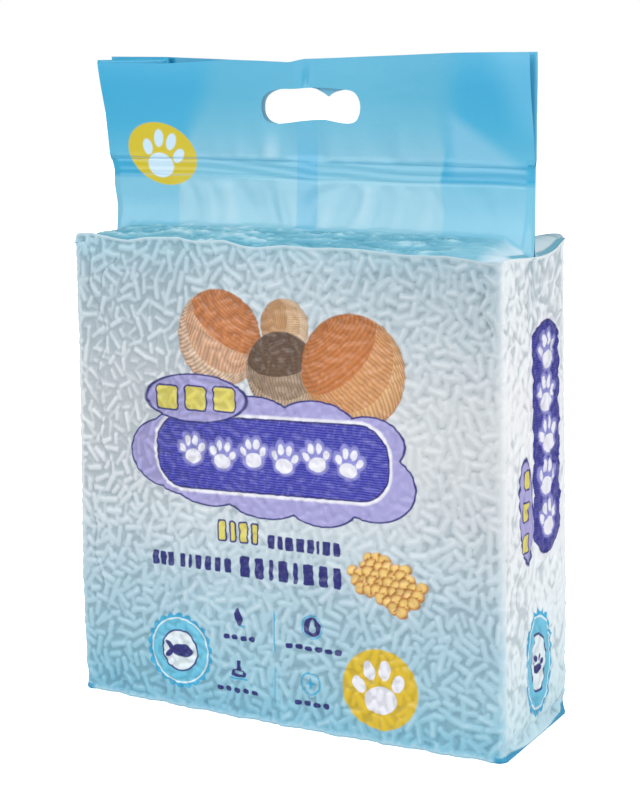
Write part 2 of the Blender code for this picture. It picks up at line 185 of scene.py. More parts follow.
def sample(field, across, up):
    """Value of a field at places given in its own steps."""
    rows, cols = field.shape
    up = np.clip(up, 0, rows - 1.001)
    low, left = np.floor(up).astype(int), np.floor(across).astype(int)
    part_up, part_across = up - low, across - left
    left, right = left % cols, (left + 1) % cols
    lower = field[low, left] * (1 - part_across) + field[low, right] * part_across
    upper = field[low + 1, left] * (1 - part_across) + field[low + 1, right] * part_across
    return lower * (1 - part_up) + upper * part_up


def lay_rods(bed, taken, tries, depth, limit, bag, rng):
    """Drops short rods on the bed, each where it covers few others, and keeps the highest surface."""
    rows, cols = bed.shape
    reach = int((0.4 * bag.pellet_length / MM + 0.8) / bag.field_step)
    offsets = np.arange(-reach, reach + 1)
    for _ in range(tries):
        col, row = rng.integers(cols), rng.integers(rows)
        turn = rng.uniform(0.0, math.pi)
        half = rng.uniform(0.20, 0.385) * bag.pellet_length / MM
        radius = bag.pellet_radius / MM * rng.uniform(0.88, 1.08)
        up = np.clip(row + offsets, 0, rows - 1)[:, None]
        across = ((col + offsets) % cols)[None, :]
        dx = (offsets * bag.field_step)[None, :]
        dz = (offsets * bag.field_step)[:, None]
        along = dx * math.cos(turn) + dz * math.sin(turn)
        side = dz * math.cos(turn) - dx * math.sin(turn)
        inside = (np.abs(along) < half) & (np.abs(side) < radius)
        if taken[up, across][inside].mean() > limit:
            continue
        taken[up, across] |= inside
        hump = depth + rng.uniform(-0.35, 0.0) + rng.uniform(-0.03, 0.03) * along
        hump = hump + np.sqrt(np.clip(radius**2 - side**2, 0.0, None)) - radius
        bed[up, across] = np.where(inside, np.maximum(bed[up, across], hump), bed[up, across])


def film_over_pellets(bag, width, height, seed):
    """Height of the film, in mm below its outermost plane, drawn down between rods that it lies on."""
    rows, cols = int(height / bag.field_step), int(width / bag.field_step)
    rng = np.random.default_rng(seed)
    bed = np.full((rows, cols), BED_FLOOR)
    taken = np.zeros((rows, cols), dtype=bool)
    amount = width * height / ROD_AREA
    for tries, depth, limit in ROD_LAYERS:
        lay_rods(bed, taken, int(tries * amount), depth, limit, bag, rng)
    film = np.zeros((rows, cols))
    pull = bag.relief_depth / MM / DRAW_ROUNDS
    for _ in range(DRAW_ROUNDS):
        film = np.maximum(bed, spread(film) - pull)
    return spread(film)


def new_sheet(name, points, material):
    """An object from rows of points: a grid primitive whose corners are moved to those places."""
    rows, cols = points.shape[:2]
    bpy.ops.object.select_all(action="DESELECT")
    bpy.ops.mesh.primitive_grid_add(x_subdivisions=cols - 1, y_subdivisions=rows - 1, size=1.0)
    made = bpy.context.object
    made.name = name
    made.data.name = name
    made.data.vertices.foreach_set("co", (points * MM).astype(np.float32).ravel())
    made.data.polygons.foreach_set("use_smooth", [True] * len(made.data.polygons))
    made.data.update()
    made.data.materials.append(material)
    return made


def store(piece, name, values):
    """Keeps one number a corner for the material to read."""
    layer = piece.data.attributes.new(name, "FLOAT", "POINT")
    layer.data.foreach_set("value", values.astype(np.float32).ravel())


def apply_modifier(piece, kind, **settings):
    """Adds a modifier to the piece and makes it permanent."""
    bpy.ops.object.select_all(action="DESELECT")
    piece.select_set(True)
    bpy.context.view_layer.objects.active = piece
    added = piece.modifiers.new(kind.lower(), kind)
    for key, value in settings.items():
        setattr(added, key, value)
    bpy.ops.object.modifier_apply(modifier=added.name)


def finish_piece(piece):
    """Ties a finished piece to the frame."""
    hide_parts(NODE)
    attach(piece, "root")


def ring(places, z):
    """Outline of the brick as seen from above: x, y and outward direction at each place along it, for each z.

    Places run in mm from the left gusset crease over the front to the right crease, and on over the back.
    """
    flat = HALF_DEPTH - CORNER
    arc = math.pi * CORNER / 2
    front = 2 * (HALF_WIDTH - CORNER)
    total = 2 * flat + 2 * arc + front
    turned = places >= total
    at = np.where(turned, places - total, places)
    x = np.empty_like(at)
    y = np.empty_like(at)
    nx = np.empty_like(at)
    ny = np.empty_like(at)
    first = at < flat
    x[first], y[first], nx[first], ny[first] = -HALF_WIDTH, -at[first], -1.0, 0.0
    bend = (at >= flat) & (at < flat + arc)
    angle = (at[bend] - flat) / CORNER
    nx[bend], ny[bend] = -np.cos(angle), -np.sin(angle)
    x[bend] = -HALF_WIDTH + CORNER + CORNER * nx[bend]
    y[bend] = -HALF_DEPTH + CORNER + CORNER * ny[bend]
    face = (at >= flat + arc) & (at < flat + arc + front)
    x[face], y[face] = -HALF_WIDTH + CORNER + at[face] - flat - arc, -HALF_DEPTH
    nx[face], ny[face] = 0.0, -1.0
    bend = (at >= flat + arc + front) & (at < total - flat)
    angle = (at[bend] - flat - arc - front) / CORNER
    nx[bend], ny[bend] = np.sin(angle), -np.cos(angle)
    x[bend] = HALF_WIDTH - CORNER + CORNER * nx[bend]
    y[bend] = -HALF_DEPTH + CORNER + CORNER * ny[bend]
    last = at >= total - flat
    x[last], y[last], nx[last], ny[last] = HALF_WIDTH, -(total - at[last]), 1.0, 0.0
    sign = np.where(turned, -1.0, 1.0)
    x, y, nx, ny = x * sign, y * sign, nx * sign, ny * sign
    left, right = table(LEFT_EDGE, z)[:, None], table(RIGHT_EDGE, z)[:, None]
    x = (left + right) / 2 + x[None, :] * (right - left) / (2 * HALF_WIDTH)
    y = y[None, :] * table(DEPTH_AT, z)[:, None] / HALF_DEPTH
    return x, y, np.broadcast_to(nx, x.shape), np.broadcast_to(ny, x.shape)


def ring_length():
    """Whole way round the brick in mm."""
    return 2 * (2 * (HALF_DEPTH - CORNER) + math.pi * CORNER + 2 * (HALF_WIDTH - CORNER))


def long_crease_height(x, y):
    """Height of the top crease along the front or the back."""
    back = 269.0 + 0.9 * np.sin(x * 0.09 + 2.0) + 0.6 * np.sin(x * 0.21)
    return np.where(y < 0, table(FRONT_CREASE, x), back)


def crease_height(x, y, nx):
    """Height of the top crease at a place of the outline."""
    side = table(SIDE_CREASE, y)
    faces = long_crease_height(x, y)
    return faces + (side - faces) * smooth(np.abs(nx) * 1.3 - 0.15)


class Relief:
    """Height of the film over the brick, by place round it and height, in mm."""

    def __init__(self, bag):
        self.step = bag.field_step
        seed = bag.pellet_seed
        tight = film_over_pellets(bag, ring_length(), FIELD_HEIGHT, seed)
        rows, cols = tight.shape
        soft = tight
        for _ in range(7):
            soft = spread(soft)
        wrinkle = creases(rows, cols, 16, 12, seed + 1) - creases(rows, cols, 18, 11, seed + 2)
        swell = random_field(rows, cols, 150, 150, seed + 3)
        fine = creases(rows, cols, 13, 13, seed + 4)
        nicks = creases(rows, cols, 7, 7, seed + 5) * np.clip(-tight - 0.2, 0.0, 1.0)
        self.tight = tight - 0.18 * fine - 0.5 * nicks + 0.2 * swell
        self.soft = soft * 0.9 + 0.85 * wrinkle + 0.2 * swell - 0.25

    def at(self, places, z, side_share):
        """Film height at places round the brick; the side panels show their pellets more softly."""
        across = np.broadcast_to(places[None, :] / self.step, z.shape)
        up = (z + FIELD_MARGIN) / self.step
        tight, soft = sample(self.tight, across, up), sample(self.soft, across, up)
        return tight + (soft - tight) * side_share


def long_creases(x, z):
    """Long thin folds in the front film, beside its left edge."""
    depth = np.zeros_like(x)
    lines = (
        (-124.0, 268.0, -112.0, 214.0, 2.6), (-112.0, 216.0, -118.0, 176.0, 1.8), (-119.0, 178.0, -112.0, 132.0, 2.2),
        (-100.0, 262.0, -117.0, 236.0, 2.0), (122.0, 262.0, 127.0, 226.0, 2.4), (-126.0, 110.0, -121.0, 62.0, 1.8),
    )
    for x0, z0, x1, z1, bow in lines:
        share = (z - z0) / (z1 - z0)
        middle = x0 + (x1 - x0) * share + bow * np.sin(share * 9.0)
        inside = smooth(np.minimum(share, 1.0 - share) * 8.0)
        away = x - middle
        depth += inside * (0.55 * np.exp(-((away - 1.1) ** 2) / 0.7) - 0.75 * np.exp(-(away**2) / 0.5))
    return depth


def brick_skin(relief, places, levels):
    """Points and relief of a run of the brick's skin, from its lip under the base to the roll of its top crease."""
    z = np.array([level for level, _, _ in levels])
    inward = np.array([inward for _, inward, _ in levels])
    lift = np.array([lift for _, _, lift in levels])
    x, y, nx, ny = ring(places, z)
    z = np.broadcast_to(z[:, None], x.shape)
    inward = np.broadcast_to(inward[:, None], x.shape)
    side = smooth((np.abs(nx) - 0.3) / 0.6)
    crown = (1.0 - (x / HALF_WIDTH) ** 2) * (1.0 + 2.2 * smooth((60.0 - z) / 60.0))
    foot = smooth((22.0 - z) / 18.0)
    ripple = 0.9 * np.sin(x * 0.19 + 1.0) + 0.6 * np.sin(x * 0.41 + 0.3 * np.sin(x * 0.1)) + 0.35 * np.sin(x * 0.9)
    pushed = (crown + 0.8 * ripple * foot) * np.abs(ny) * (1.0 - side)
    height = relief.at(places, z, side)
    corner = np.abs(nx) * np.abs(ny) * 2.0
    height = height * (1.0 - 0.45 * corner) + 0.25 * corner
    height = height + long_creases(x, z) * (ny < -0.99)
    fade_top = smooth((BRICK_TOP - 0.4 - z) / 1.6)
    fade_base = smooth((z - 0.5) / 4.0)
    height = height * fade_top * fade_base + 0.35 * np.exp(-(((BRICK_TOP - z) / 0.7) ** 2))
    height = height + np.where((np.abs(x) < SEAM_HALF) & (ny > 0.99), 0.75, 0.0)
    fold = 1.5 * np.exp(-np.abs(y) / 4.0) * side * smooth((z - 6) / 20)
    waist = side * (2.4 * np.exp(-(((z - 7.5) / 3.2) ** 2)))
    tuck_line = 3.2 + np.abs(y) * 0.05 + 3.0 * smooth((y - 27.0) / 12.0)
    tuck = side * 1.8 * smooth((np.abs(y) - 12.0) / 20.0) * np.exp(-(((z - tuck_line) / 1.5) ** 2))
    out = pushed + height - fold - waist - tuck
    open_by = smooth((np.abs(nx) - 0.96) / 0.04) * smooth((12.0 - np.abs(np.abs(y) - 12)) / 12.0) * (z > 200)
    deep = inward * (1.0 + 2.6 * open_by)
    x = x + nx * (out - deep)
    y = y + ny * (out - deep)
    crease = crease_height(x, y, nx)
    share = smooth((z - 205.0) / 62.0)
    up = z + (crease - BRICK_TOP) * share
    dip = lift[:, None] - 0.42 * np.clip(deep - 3.0, 0.0, None) * (z > 200)
    return np.stack([x, y, up + dip], axis=-1), height


def skin_levels(step):
    """Rows of the brick's skin: height, way inwards and lift at each."""
    low = [(0.0, 7.0, 0.5), (0.0, 4.5, 0.2), (0.0, 2.6, 0.0), (0.0, 1.3, 0.0), (0.0, 0.5, 0.35), (0.0, 0.1, 0.9)]
    count = round((BRICK_TOP - WALL_FOOT) / step)
    wall = [(WALL_FOOT + (BRICK_TOP - WALL_FOOT) * i / count, 0.0, 0.0) for i in range(count + 1)]
    roll = ((0.15, 0.25), (0.4, 0.36), (0.7, 0.2), (1.2, -0.4), (2.6, -1.4))
    return low + wall + [(BRICK_TOP, inward, lift) for inward, lift in roll]


def run(low, high, step):
    """Evenly spaced places from low to high, about a step apart, without the last."""
    count = max(1, round((high - low) / step))
    return list(np.linspace(low, high, count + 1)[:-1])


def roof_height(x, y):
    """Height of the roof film, without its crumples."""
    ends = 1.0 - 0.6 * np.clip(np.abs(x) / HALF_WIDTH, 0, 1) ** 6
    near = np.abs(y) / HALF_DEPTH
    edge = long_crease_height(x, y)
    return BRICK_TOP + ROOF_RISE * ends * (1.0 - near) + (edge - BRICK_TOP) * near**2


def header_wave(x, z):
    """Slow wave of the whole header out of its plane."""
    share = np.clip((z - 274.0) / 92.0, 0.0, 1.0)
    return 1.8 * share * (np.sin(x * 0.021 + 0.6) + 0.4 * np.sin(x * 0.055))


def neck_folds(x, z, seed):
    """Soft upright folds of the neck, which fan out from the cross seal, and the pull under the handle."""
    field = random_field(80, 400, 26, 7, seed)
    bow = 5.0 * np.sin((z - 268.0) * 0.10 + x * 0.045) + 3.0 * np.sin(x * 0.11 + z * 0.05)
    below = sample(field, (x + bow + 150.0) * 1.3, (z - 262.0) * 1.2)
    neck = smooth((z - 270.0) / 8.0) * smooth((301.0 - z) / 7.0)
    inner = smooth((86.0 - np.abs(x - 1.0)) / 12.0)
    pull = sample(random_field(120, 400, 44, 9, seed + 5), (x + 150.0) * 1.2, z - 300.0)
    above = smooth((z - 309.0) / 4.0) * smooth((336.0 - z) / 22.0) * smooth((90.0 - np.abs(x - 8.0)) / 50.0)
    return 0.3 * below * neck * (0.25 + 0.75 * inner) + 0.4 * pull * above


def ply_gap(x, z):
    """Distance of a ply from the header's middle."""
    share = smooth((z - 309.0) / 57.0)
    side = np.clip(np.abs(x) / 132.0, 0.0, 1.0) ** 2
    foot = 3.6 * np.exp(-np.clip(z - 273.0, 0.0, None) / 7.0)
    return 1.4 + foot + share * (1.3 + 2.6 * side)


def header_left(z, front):
    """Left edge of a ply; the back one draws in towards its top."""
    return table(HEADER_LEFT, z) + (0.0 if front else 3.2) * smooth((z - 322.0) / 40.0)


def header_sheet(front):
    """Points of one face of the roof and header as a single film: in from the crease, up the neck and ply."""
    cols = HEADER_COLS
    share = np.linspace(-1.0, 1.0, cols)
    sign = 1.0 if front else -1.0
    rows, reliefs = [], []
    crumple = random_field(120, 640, 7, 18, 31 if front else 32)
    sharp = creases(120, 640, 4, 11, 33 if front else 34)
    small = random_field(120, 640, 3, 6, 35 if front else 36)
    left_at, right_at = table(HEADER_LEFT, HEADER_FOOT), table(HEADER_RIGHT, HEADER_FOOT)
    for step in range(ROOF_ROWS):
        part = step / ROOF_ROWS
        away = ROOF_EDGE - part * ROOF_RUN
        left = ROOF_ENDS[0] + (left_at - ROOF_ENDS[0]) * part
        right = ROOF_ENDS[1] + (right_at - ROOF_ENDS[1]) * part
        x = (left + right) / 2 + share * (right - left) / 2
        end = smooth((share * share - 0.93) / 0.06) * smooth((part - 0.6) / 0.4)
        y = -sign * (away * (1.0 - end) + 0.5 * end)
        z = roof_height(x, y)
        grid_x, grid_y = (x + 140.0) * 2.0, np.full(cols, away * 2.0)
        lumps = 0.36 * sample(crumple, grid_x, grid_y) + 0.95 * sample(sharp, grid_x, grid_y)
        lumps = lumps + 0.26 * sample(small, grid_x, grid_y) - 0.6
        calm = 1.0 - 0.6 * smooth((x - 84.0) / 34.0)
        inner = smooth(part * 9.0) * (1.0 - 0.4 * smooth((part - 0.8) / 0.2))
        z = z + lumps * calm * inner - 0.6 * (1.0 - smooth(part * 12.0))
        ends = np.minimum(x - left, right - x)
        rim = table(SIDE_CREASE, y) + 1.6 - 1.2 * (1.0 - smooth(part * 5))
        z = z + (rim - z) * smooth((15.0 - ends) / 15.0) ** 0.7
        z = z - 1.4 * np.exp(-ends / 1.3) * smooth(part * 5)
        rows.append(np.stack([x, y, z], axis=-1))
        reliefs.append(lumps * calm)
    foot = roof_height(share * 132.0, np.full(cols, -3.4 * sign))
    low, high = table(SEAL_LOW, share * 132.0), table(SEAL_HIGH, share * 132.0)
    top = table(FRONT_TOP if front else BACK_TOP, share * 132.0)
    levels = []
    for start, end, count in ((foot, low, NECK_ROWS), (low, high, SEAL_ROWS), (high, top, PLY_ROWS)):
        levels += [start + (end - start) * i / count for i in range(1, count + 1)]
    for z in levels:
        left, right = header_left(z, front), table(HEADER_RIGHT, z)
        x = (left + right) / 2 + share * (right - left) / 2
        gap = ply_gap(x, z)
        seal = smooth((z - low + 0.8) / 0.8) * smooth((high + 0.8 - z) / 0.8)
        groove = 0.13 * (np.exp(-(((z - low) / 0.7) ** 2)) + np.exp(-(((z - high) / 0.7) ** 2)))
        slant = 0.22 * np.sin((z - low) * 1.3 + x * 0.06 + 2.0 * np.sin(x * 0.03)) * seal
        gap = gap - 0.16 * seal - groove + slant * 0.5 + 0.12 * np.exp(-(((z - high - 1.8) / 1.1) ** 2))
        folds = neck_folds(x, z, 51 if front else 57) * (1.0 if front else 0.6)
        reliefs.append(folds)
        pinch = 1.0 - 0.9 * smooth((share * share - 0.93) / 0.06) * smooth((313.0 - z) / 4.0)
        nick = np.exp(-(((x - 1.0 - (z - 356.0) * 0.14) / 1.3) ** 2)) * np.exp(-(((z - 355.0) / 4.5) ** 2))
        gap = (gap + folds) * pinch - 0.8 * nick
        if not front:
            gap = gap + np.where(np.abs(x - 0.5) < SEAM_HALF, 0.5, 0.0)
        y = header_wave(x, z) - sign * gap
        rows.append(np.stack([x, y, z], axis=-1))
    points, relief = np.stack(rows), np.stack(reliefs)
    # the bend from roof to neck is eased
    for _ in range(4):
        near = points[29:44].copy()
        points[30:43] = (near[:-2] + near[2:]) / 4 + near[1:-1] / 2
    if not front:
        points, relief = points[:, ::-1], relief[:, ::-1]
    return points, relief


def gusset_sheet(side):
    """Points of the gusset in the open header: from the front ply in to its crease and out to the back ply."""
    rows = []
    path = np.concatenate([np.linspace(-1.0, -0.06, 24), np.linspace(-0.03, 0.03, 3), np.linspace(0.06, 1.0, 24)])
    table_at = HEADER_RIGHT if side > 0 else HEADER_LEFT
    for part in np.linspace(0.0, 1.0, 46):
        z = 309.8 + (366.6 - 309.8) * part
        edge = float(table(table_at, np.array(z))) - side * 0.15
        lift = np.where(path < 0, -0.3, 0.6) if side < 0 else 0.9
        gap = float(ply_gap(np.array(edge), np.array(z)))
        in_by = 43.0 * (1.0 - np.abs(path))
        x = edge - side * in_by
        if side < 0:
            x = x + (path > 0) * (header_left(z, False) - header_left(z, True))
        y = header_wave(x, z) + np.sign(path) * (0.35 + (gap - 0.75) * np.abs(path) ** 0.8)
        y = y + 0.25 * np.sin(x * 0.21 + z * 0.13)
        rise = part * lift * (np.abs(path) > 0.02)
        rows.append(np.stack([x, y, np.full_like(x, z) + rise], axis=-1))
    points = np.stack(rows)
    if side > 0:
        points = points[:, ::-1]
    return points


def tuck_sheet(side):
    """Points of the folded film in the slot between a side panel's top edge and the roof."""
    y = np.linspace(-40.5, 40.5, 60)[None, :]
    inward = np.linspace(0.0, 36.0, 26)[:, None]
    edge = 134.2 if side > 0 else 128.8
    x = side * (edge - inward) + 0.0 * y
    crumple = creases(26, 60, 7, 7, 91) + 0.5 * random_field(26, 60, 3, 5, 92)
    sunk = 0.6 + 1.5 * smooth(inward / 4.0) + 1.0 * smooth((inward - 14.0) / 20.0)
    sunk = sunk - 0.5 * crumple * smooth(inward / 4.0)
    z = np.minimum(table(SIDE_CREASE, y) + inward * 0.08, 269.0) - sunk
    points = np.stack([x, np.broadcast_to(y, x.shape), z], axis=-1)
    return points[:, ::-1] if side > 0 else points


def hole_cutter(outline, low, high):
    """Prism through one ply in the shape of the die cut handle, with its corners rounded."""
    points = [Vector((x, 0.0, z)) for x, z in outline]
    for _ in range(2):
        count = len(points)
        sides = [(points[i], points[(i + 1) % count]) for i in range(count)]
        points = [a * share + b * (1.0 - share) for a, b in sides for share in (0.75, 0.25)]
    bm = bmesh.new()
    corners = [bm.verts.new(Vector((p.x, low, p.z)) * MM) for p in points]
    face = bm.faces.new(corners)
    grown = bmesh.ops.extrude_face_region(bm, geom=[face])
    moved = [v for v in grown["geom"] if isinstance(v, bmesh.types.BMVert)]
    bmesh.ops.translate(bm, verts=moved, vec=Vector((0.0, (high - low) * MM, 0.0)))
    bmesh.ops.recalc_face_normals(bm, faces=bm.faces[:])
    mesh = bpy.data.meshes.new("handle_cutter")
    bm.to_mesh(mesh)
    bm.free()
    cutter = bpy.data.objects.new("handle_cutter", mesh)
    bpy.context.scene.collection.objects.link(cutter)
    return cutter


def thicken_and_cut(piece, outline, bag, front):
    """Gives a ply its thickness, cuts the handle out of it and keeps its cut edges crisp."""
    apply_modifier(piece, "SOLIDIFY", thickness=bag.film_thickness, offset=-1.0)
    low, high = (-14.0, 0.6) if front else (-0.6, 14.0)
    middle = float(header_wave(np.array(4.0), np.array(340.0)))
    cutter = hole_cutter(outline, low + middle, high + middle)
    apply_modifier(piece, "BOOLEAN", operation="DIFFERENCE", solver="EXACT", object=cutter)
    bpy.data.objects.remove(cutter, do_unlink=True)
    piece.data.set_sharp_from_angle(angle=math.radians(50))


class Wiring:
    """Short words for adding and joining shader nodes."""

    def __init__(self, tree):
        self.tree = tree
        self.nodes = tree.nodes

    def add(self, kind, inputs=None, **settings):
        node = self.nodes.new(kind)
        for key, value in settings.items():
            setattr(node, key, value)
        for key, value in (inputs or {}).items():
            self.put(node.inputs[key], value)
        return node

    def put(self, socket, value):
        if isinstance(value, bpy.types.NodeSocket):
            self.tree.links.new(value, socket)
        else:
            socket.default_value = value

    def maths(self, operation, a, b=0.0, clamp=False):
        return self.add("ShaderNodeMath", {0: a, 1: b}, operation=operation, use_clamp=clamp).outputs[0]

    def times(self, a, b):
        return self.maths("MULTIPLY", a, b)

    def plus(self, a, b):
        return self.maths("ADD", a, b)

    def minus(self, a, b):
        return self.maths("SUBTRACT", a, b)

    def noise(self, place, scale, detail=2.0, roughness=0.5):
        given = {"Vector": place, "Scale": scale, "Detail": detail, "Roughness": roughness}
        return self.add("ShaderNodeTexNoise", given).outputs["Fac"]

    def parts(self, vector):
        return self.add("ShaderNodeSeparateXYZ", {0: vector}).outputs

    def attribute(self, name):
        return self.add("ShaderNodeAttribute", attribute_name=name).outputs["Fac"]

    def vector(self, operation, a, b=(0.0, 0.0, 0.0)):
        return self.add("ShaderNodeVectorMath", {0: a, 1: b}, operation=operation)

    def ease(self, value, low, high):
        """0 at low and 1 at high, eased between."""
        given = {"Value": value, "From Min": low, "From Max": high}
        return self.add("ShaderNodeMapRange", given, interpolation_type="SMOOTHSTEP").outputs["Result"]

    def mix(self, share, a, b, blend="MIX"):
        node = self.add("ShaderNodeMix", data_type="RGBA", blend_type=blend)
        self.put(node.inputs[0], share)
        self.put(node.inputs[6], a)
        self.put(node.inputs[7], b)
        return node.outputs[2]

    def ramp(self, value, stops):
        """Colours at stops between 0 and 1."""
        node = self.add("ShaderNodeValToRGB", {"Fac": value})
        band = node.color_ramp
        while len(band.elements) < len(stops):
            band.elements.new(0.5)
        for element, (place, colour) in zip(band.elements, stops):
            element.position = place
            element.color = colour
        return node.outputs["Color"]

    def group(self, tree, inputs):
        return self.add("ShaderNodeGroup", inputs, node_tree=tree)


def colour(red, green, blue):
    """A colour of 0 to 255 steps as the renderer's linear values."""
    def linear(step):
        share = step / 255.0
        return share / 12.92 if share <= 0.04045 else ((share + 0.055) / 1.055) ** 2.4
    return (linear(red), linear(green), linear(blue), 1.0)


def new_group(name, inputs, outputs):
    """An empty node group with those sockets, and its wiring."""
    tree = bpy.data.node_groups.new(name, "ShaderNodeTree")
    kinds = {"V": "NodeSocketVector", "F": "NodeSocketFloat"}
    for key, kind in inputs:
        tree.interface.new_socket(key, in_out="INPUT", socket_type=kinds[kind])
    for key, kind in outputs:
        tree.interface.new_socket(key, in_out="OUTPUT", socket_type=kinds[kind])
    w = Wiring(tree)
    return tree, w, w.add("NodeGroupInput"), w.add("NodeGroupOutput")


def local_place(w, given):
    """Place from a shape's middle, turned upright with it."""
    away = w.vector("SUBTRACT", given.outputs["Place"], given.outputs["Middle"]).outputs[0]
    back = w.times(given.outputs["Turn"], -1.0)
    return w.add("ShaderNodeVectorRotate", {"Vector": away, "Angle": back}, rotation_type="Z_AXIS").outputs[0]


SHAPE_INPUTS = (("Place", "V"), ("Middle", "V"), ("Half", "V"), ("Turn", "F"), ("Blur", "F"))


def oval_group():
    """Mask of an oval: its middle and half size in mm."""
    tree, w, given, result = new_group("oval_patch", SHAPE_INPUTS, (("Mask", "F"),))
    local = local_place(w, given)
    ratio = w.vector("DIVIDE", local, given.outputs["Half"]).outputs[0]
    flat = w.vector("MULTIPLY", ratio, (1.0, 1.0, 0.0)).outputs[0]
    length = w.vector("LENGTH", flat).outputs["Value"]
    half_x, half_y, _ = w.parts(given.outputs["Half"])
    small = w.maths("MINIMUM", half_x, half_y)
    inside = w.times(w.minus(1.0, length), small)
    share = w.maths("DIVIDE", inside, given.outputs["Blur"])
    w.put(result.inputs["Mask"], w.maths("ADD", share, 0.5, clamp=True))
    return tree


def paw_group(oval):
    """Mask of a plain paw print of unit size: one wide pad and four toes."""
    tree, w, given, result = new_group("paw_patch", SHAPE_INPUTS, (("Mask", "F"),))
    ratio = w.vector("DIVIDE", local_place(w, given), given.outputs["Half"]).outputs[0]
    total = 0.0
    half = w.parts(given.outputs["Half"])[0]
    small = w.maths("DIVIDE", given.outputs["Blur"], half)
    for x, y, half_x, half_y, turn in PAW_PADS:
        place = {"Place": ratio, "Middle": (x, y, 0), "Half": (half_x, half_y, 1)}
        pad = w.group(oval, {**place, "Turn": math.radians(turn), "Blur": small})
        total = w.maths("MAXIMUM", total, pad.outputs[0])
    w.put(result.inputs["Mask"], total)
    return tree


# axis of each winding of a ball, the direction across it, and the half width of its band
WINDINGS = (
    ((0.55, 0.80, 0.25), (0.1, 0.2, 0.97), 2.0),
    ((0.85, -0.45, 0.28), (0.45, 0.75, 0.48), 0.42),
    ((-0.72, 0.66, 0.2), (0.30, 0.42, 0.86), 0.34),
)


def yarn_group():
    """A ball of yarn: its mask, and how light its wound strands are at each place."""
    tree, w, given, result = new_group("yarn_patch", SHAPE_INPUTS, (("Mask", "F"), ("Strand", "F"), ("Band", "F")))
    ratio = w.vector("DIVIDE", local_place(w, given), given.outputs["Half"]).outputs[0]
    across, up, _ = w.parts(ratio)
    squares = w.plus(w.maths("POWER", across, 2.0), w.maths("POWER", up, 2.0))
    depth = w.maths("SQRT", w.maths("MAXIMUM", w.minus(1.0, squares), 0.0))
    ball = w.add("ShaderNodeCombineXYZ", {0: across, 1: up, 2: depth}).outputs[0]
    strand, band = None, 0.0
    for axis, sideways, width in WINDINGS:
        turned = w.maths("ARCCOSINE", w.vector("DOT_PRODUCT", ball, axis).outputs["Value"])
        wave = w.maths("SINE", w.times(turned, 74.0))
        near = w.maths("ABSOLUTE", w.vector("DOT_PRODUCT", ball, sideways).outputs["Value"])
        over = w.maths("LESS_THAN", near, width)
        if strand is None:
            strand = wave
        else:
            under = w.times(strand, w.minus(1.0, over))
            strand = w.plus(w.times(wave, over), under)
            band = w.maths("MAXIMUM", band, w.times(over, 0.5 if width > 0.4 else 1.0))
    light = w.plus(w.times(strand, 0.22), w.times(depth, 0.55))
    half = w.parts(given.outputs["Half"])[0]
    inside = w.times(w.minus(1.0, w.maths("SQRT", squares)), half)
    w.put(result.inputs["Mask"], w.maths("ADD", w.maths("DIVIDE", inside, given.outputs["Blur"]), 0.5, clamp=True))
    w.put(result.inputs["Strand"], w.plus(light, 0.30))
    w.put(result.inputs["Band"], band)
    return tree


NAVY = colour(27, 29, 116)
LILAC = colour(166, 162, 216)
PALE = colour(236, 236, 246)
LEMON = colour(222, 210, 98)
CYAN = colour(52, 170, 214)
GOLD = colour(222, 188, 34)


def turned_place(x, z, middle_x, middle_z, turn):
    """Place from a shape's middle, turned upright with it."""
    turn = math.radians(turn)
    across, up = x - middle_x, z - middle_z
    return across * math.cos(turn) + up * math.sin(turn), up * math.cos(turn) - across * math.sin(turn)


def oval(x, z, middle_x, middle_z, half_x, half_z, turn=0.0):
    """Distance outside an oval, below nought inside it."""
    across, up = turned_place(x, z, middle_x, middle_z, turn)
    return (np.sqrt((across / half_x) ** 2 + (up / half_z) ** 2) - 1.0) * min(half_x, half_z)


def bar(x, z, middle_x, middle_z, half_x, half_z, radius, turn=0.0):
    """Distance outside a bar with rounded corners, below nought inside it."""
    across, up = turned_place(x, z, middle_x, middle_z, turn)
    over_x, over_z = np.abs(across) - half_x + radius, np.abs(up) - half_z + radius
    outside = np.sqrt(np.clip(over_x, 0, None) ** 2 + np.clip(over_z, 0, None) ** 2)
    return outside + np.minimum(np.maximum(over_x, over_z), 0.0) - radius


def scallop(x, z, middle_x, middle_z, half_x, half_z, count, depth, turn=0.0):
    """Distance outside an oval whose rim is cut in round scallops."""
    across, up = turned_place(x, z, middle_x, middle_z, turn)
    across, up = across / half_x, up / half_z
    rim = 1.0 - depth * (1.0 - np.abs(np.sin(np.arctan2(up, across) * count / 2)))
    return (np.sqrt(across**2 + up**2) - rim) * min(half_x, half_z)


def strokes(x, z, first, last, level, tall, halves, round_by=0.8):
    """A row of plain upright bars, evenly spaced from first to last."""
    gap = (last - first - 2 * sum(halves)) / (len(halves) - 1)
    shapes = []
    for half in halves:
        shapes.append(bar(x, z, first + half, level + (first + 20) * 0.012, half, tall, min(half, round_by)))
        first += 2 * half + gap
    return shapes


PAW_PADS = (
    (0, -0.38, 0.56, 0.44, 0),
    (-0.68, 0.14, 0.20, 0.29, 28), (-0.27, 0.56, 0.20, 0.32, 9),
    (0.27, 0.56, 0.20, 0.32, -9), (0.68, 0.14, 0.20, 0.29, -28),
)


def paw(x, z, middle_x, middle_z, half, turn=0.0):
    """Distance outside a plain paw print: one wide pad and four toes."""
    across, up = turned_place(x, z, middle_x, middle_z, turn)
    return np.minimum.reduce([oval(across / half, up / half, *pad) for pad in PAW_PADS]) * half


# first bead and end of each row of the heap, from the top, and the beads' middles
HEAP_ROWS = ((2, 5), (1, 7), (0, 8), (0, 9), (1, 9), (3, 8), (5, 7))
HEAP = [
    (47.0 + 4.9 * i + (0.0, 2.3)[row % 2], 103.5 - 4.6 * row + 0.9 * math.sin(3.0 * i + row))
    for row, (first, last) in enumerate(HEAP_ROWS) for i in range(first, last)
]


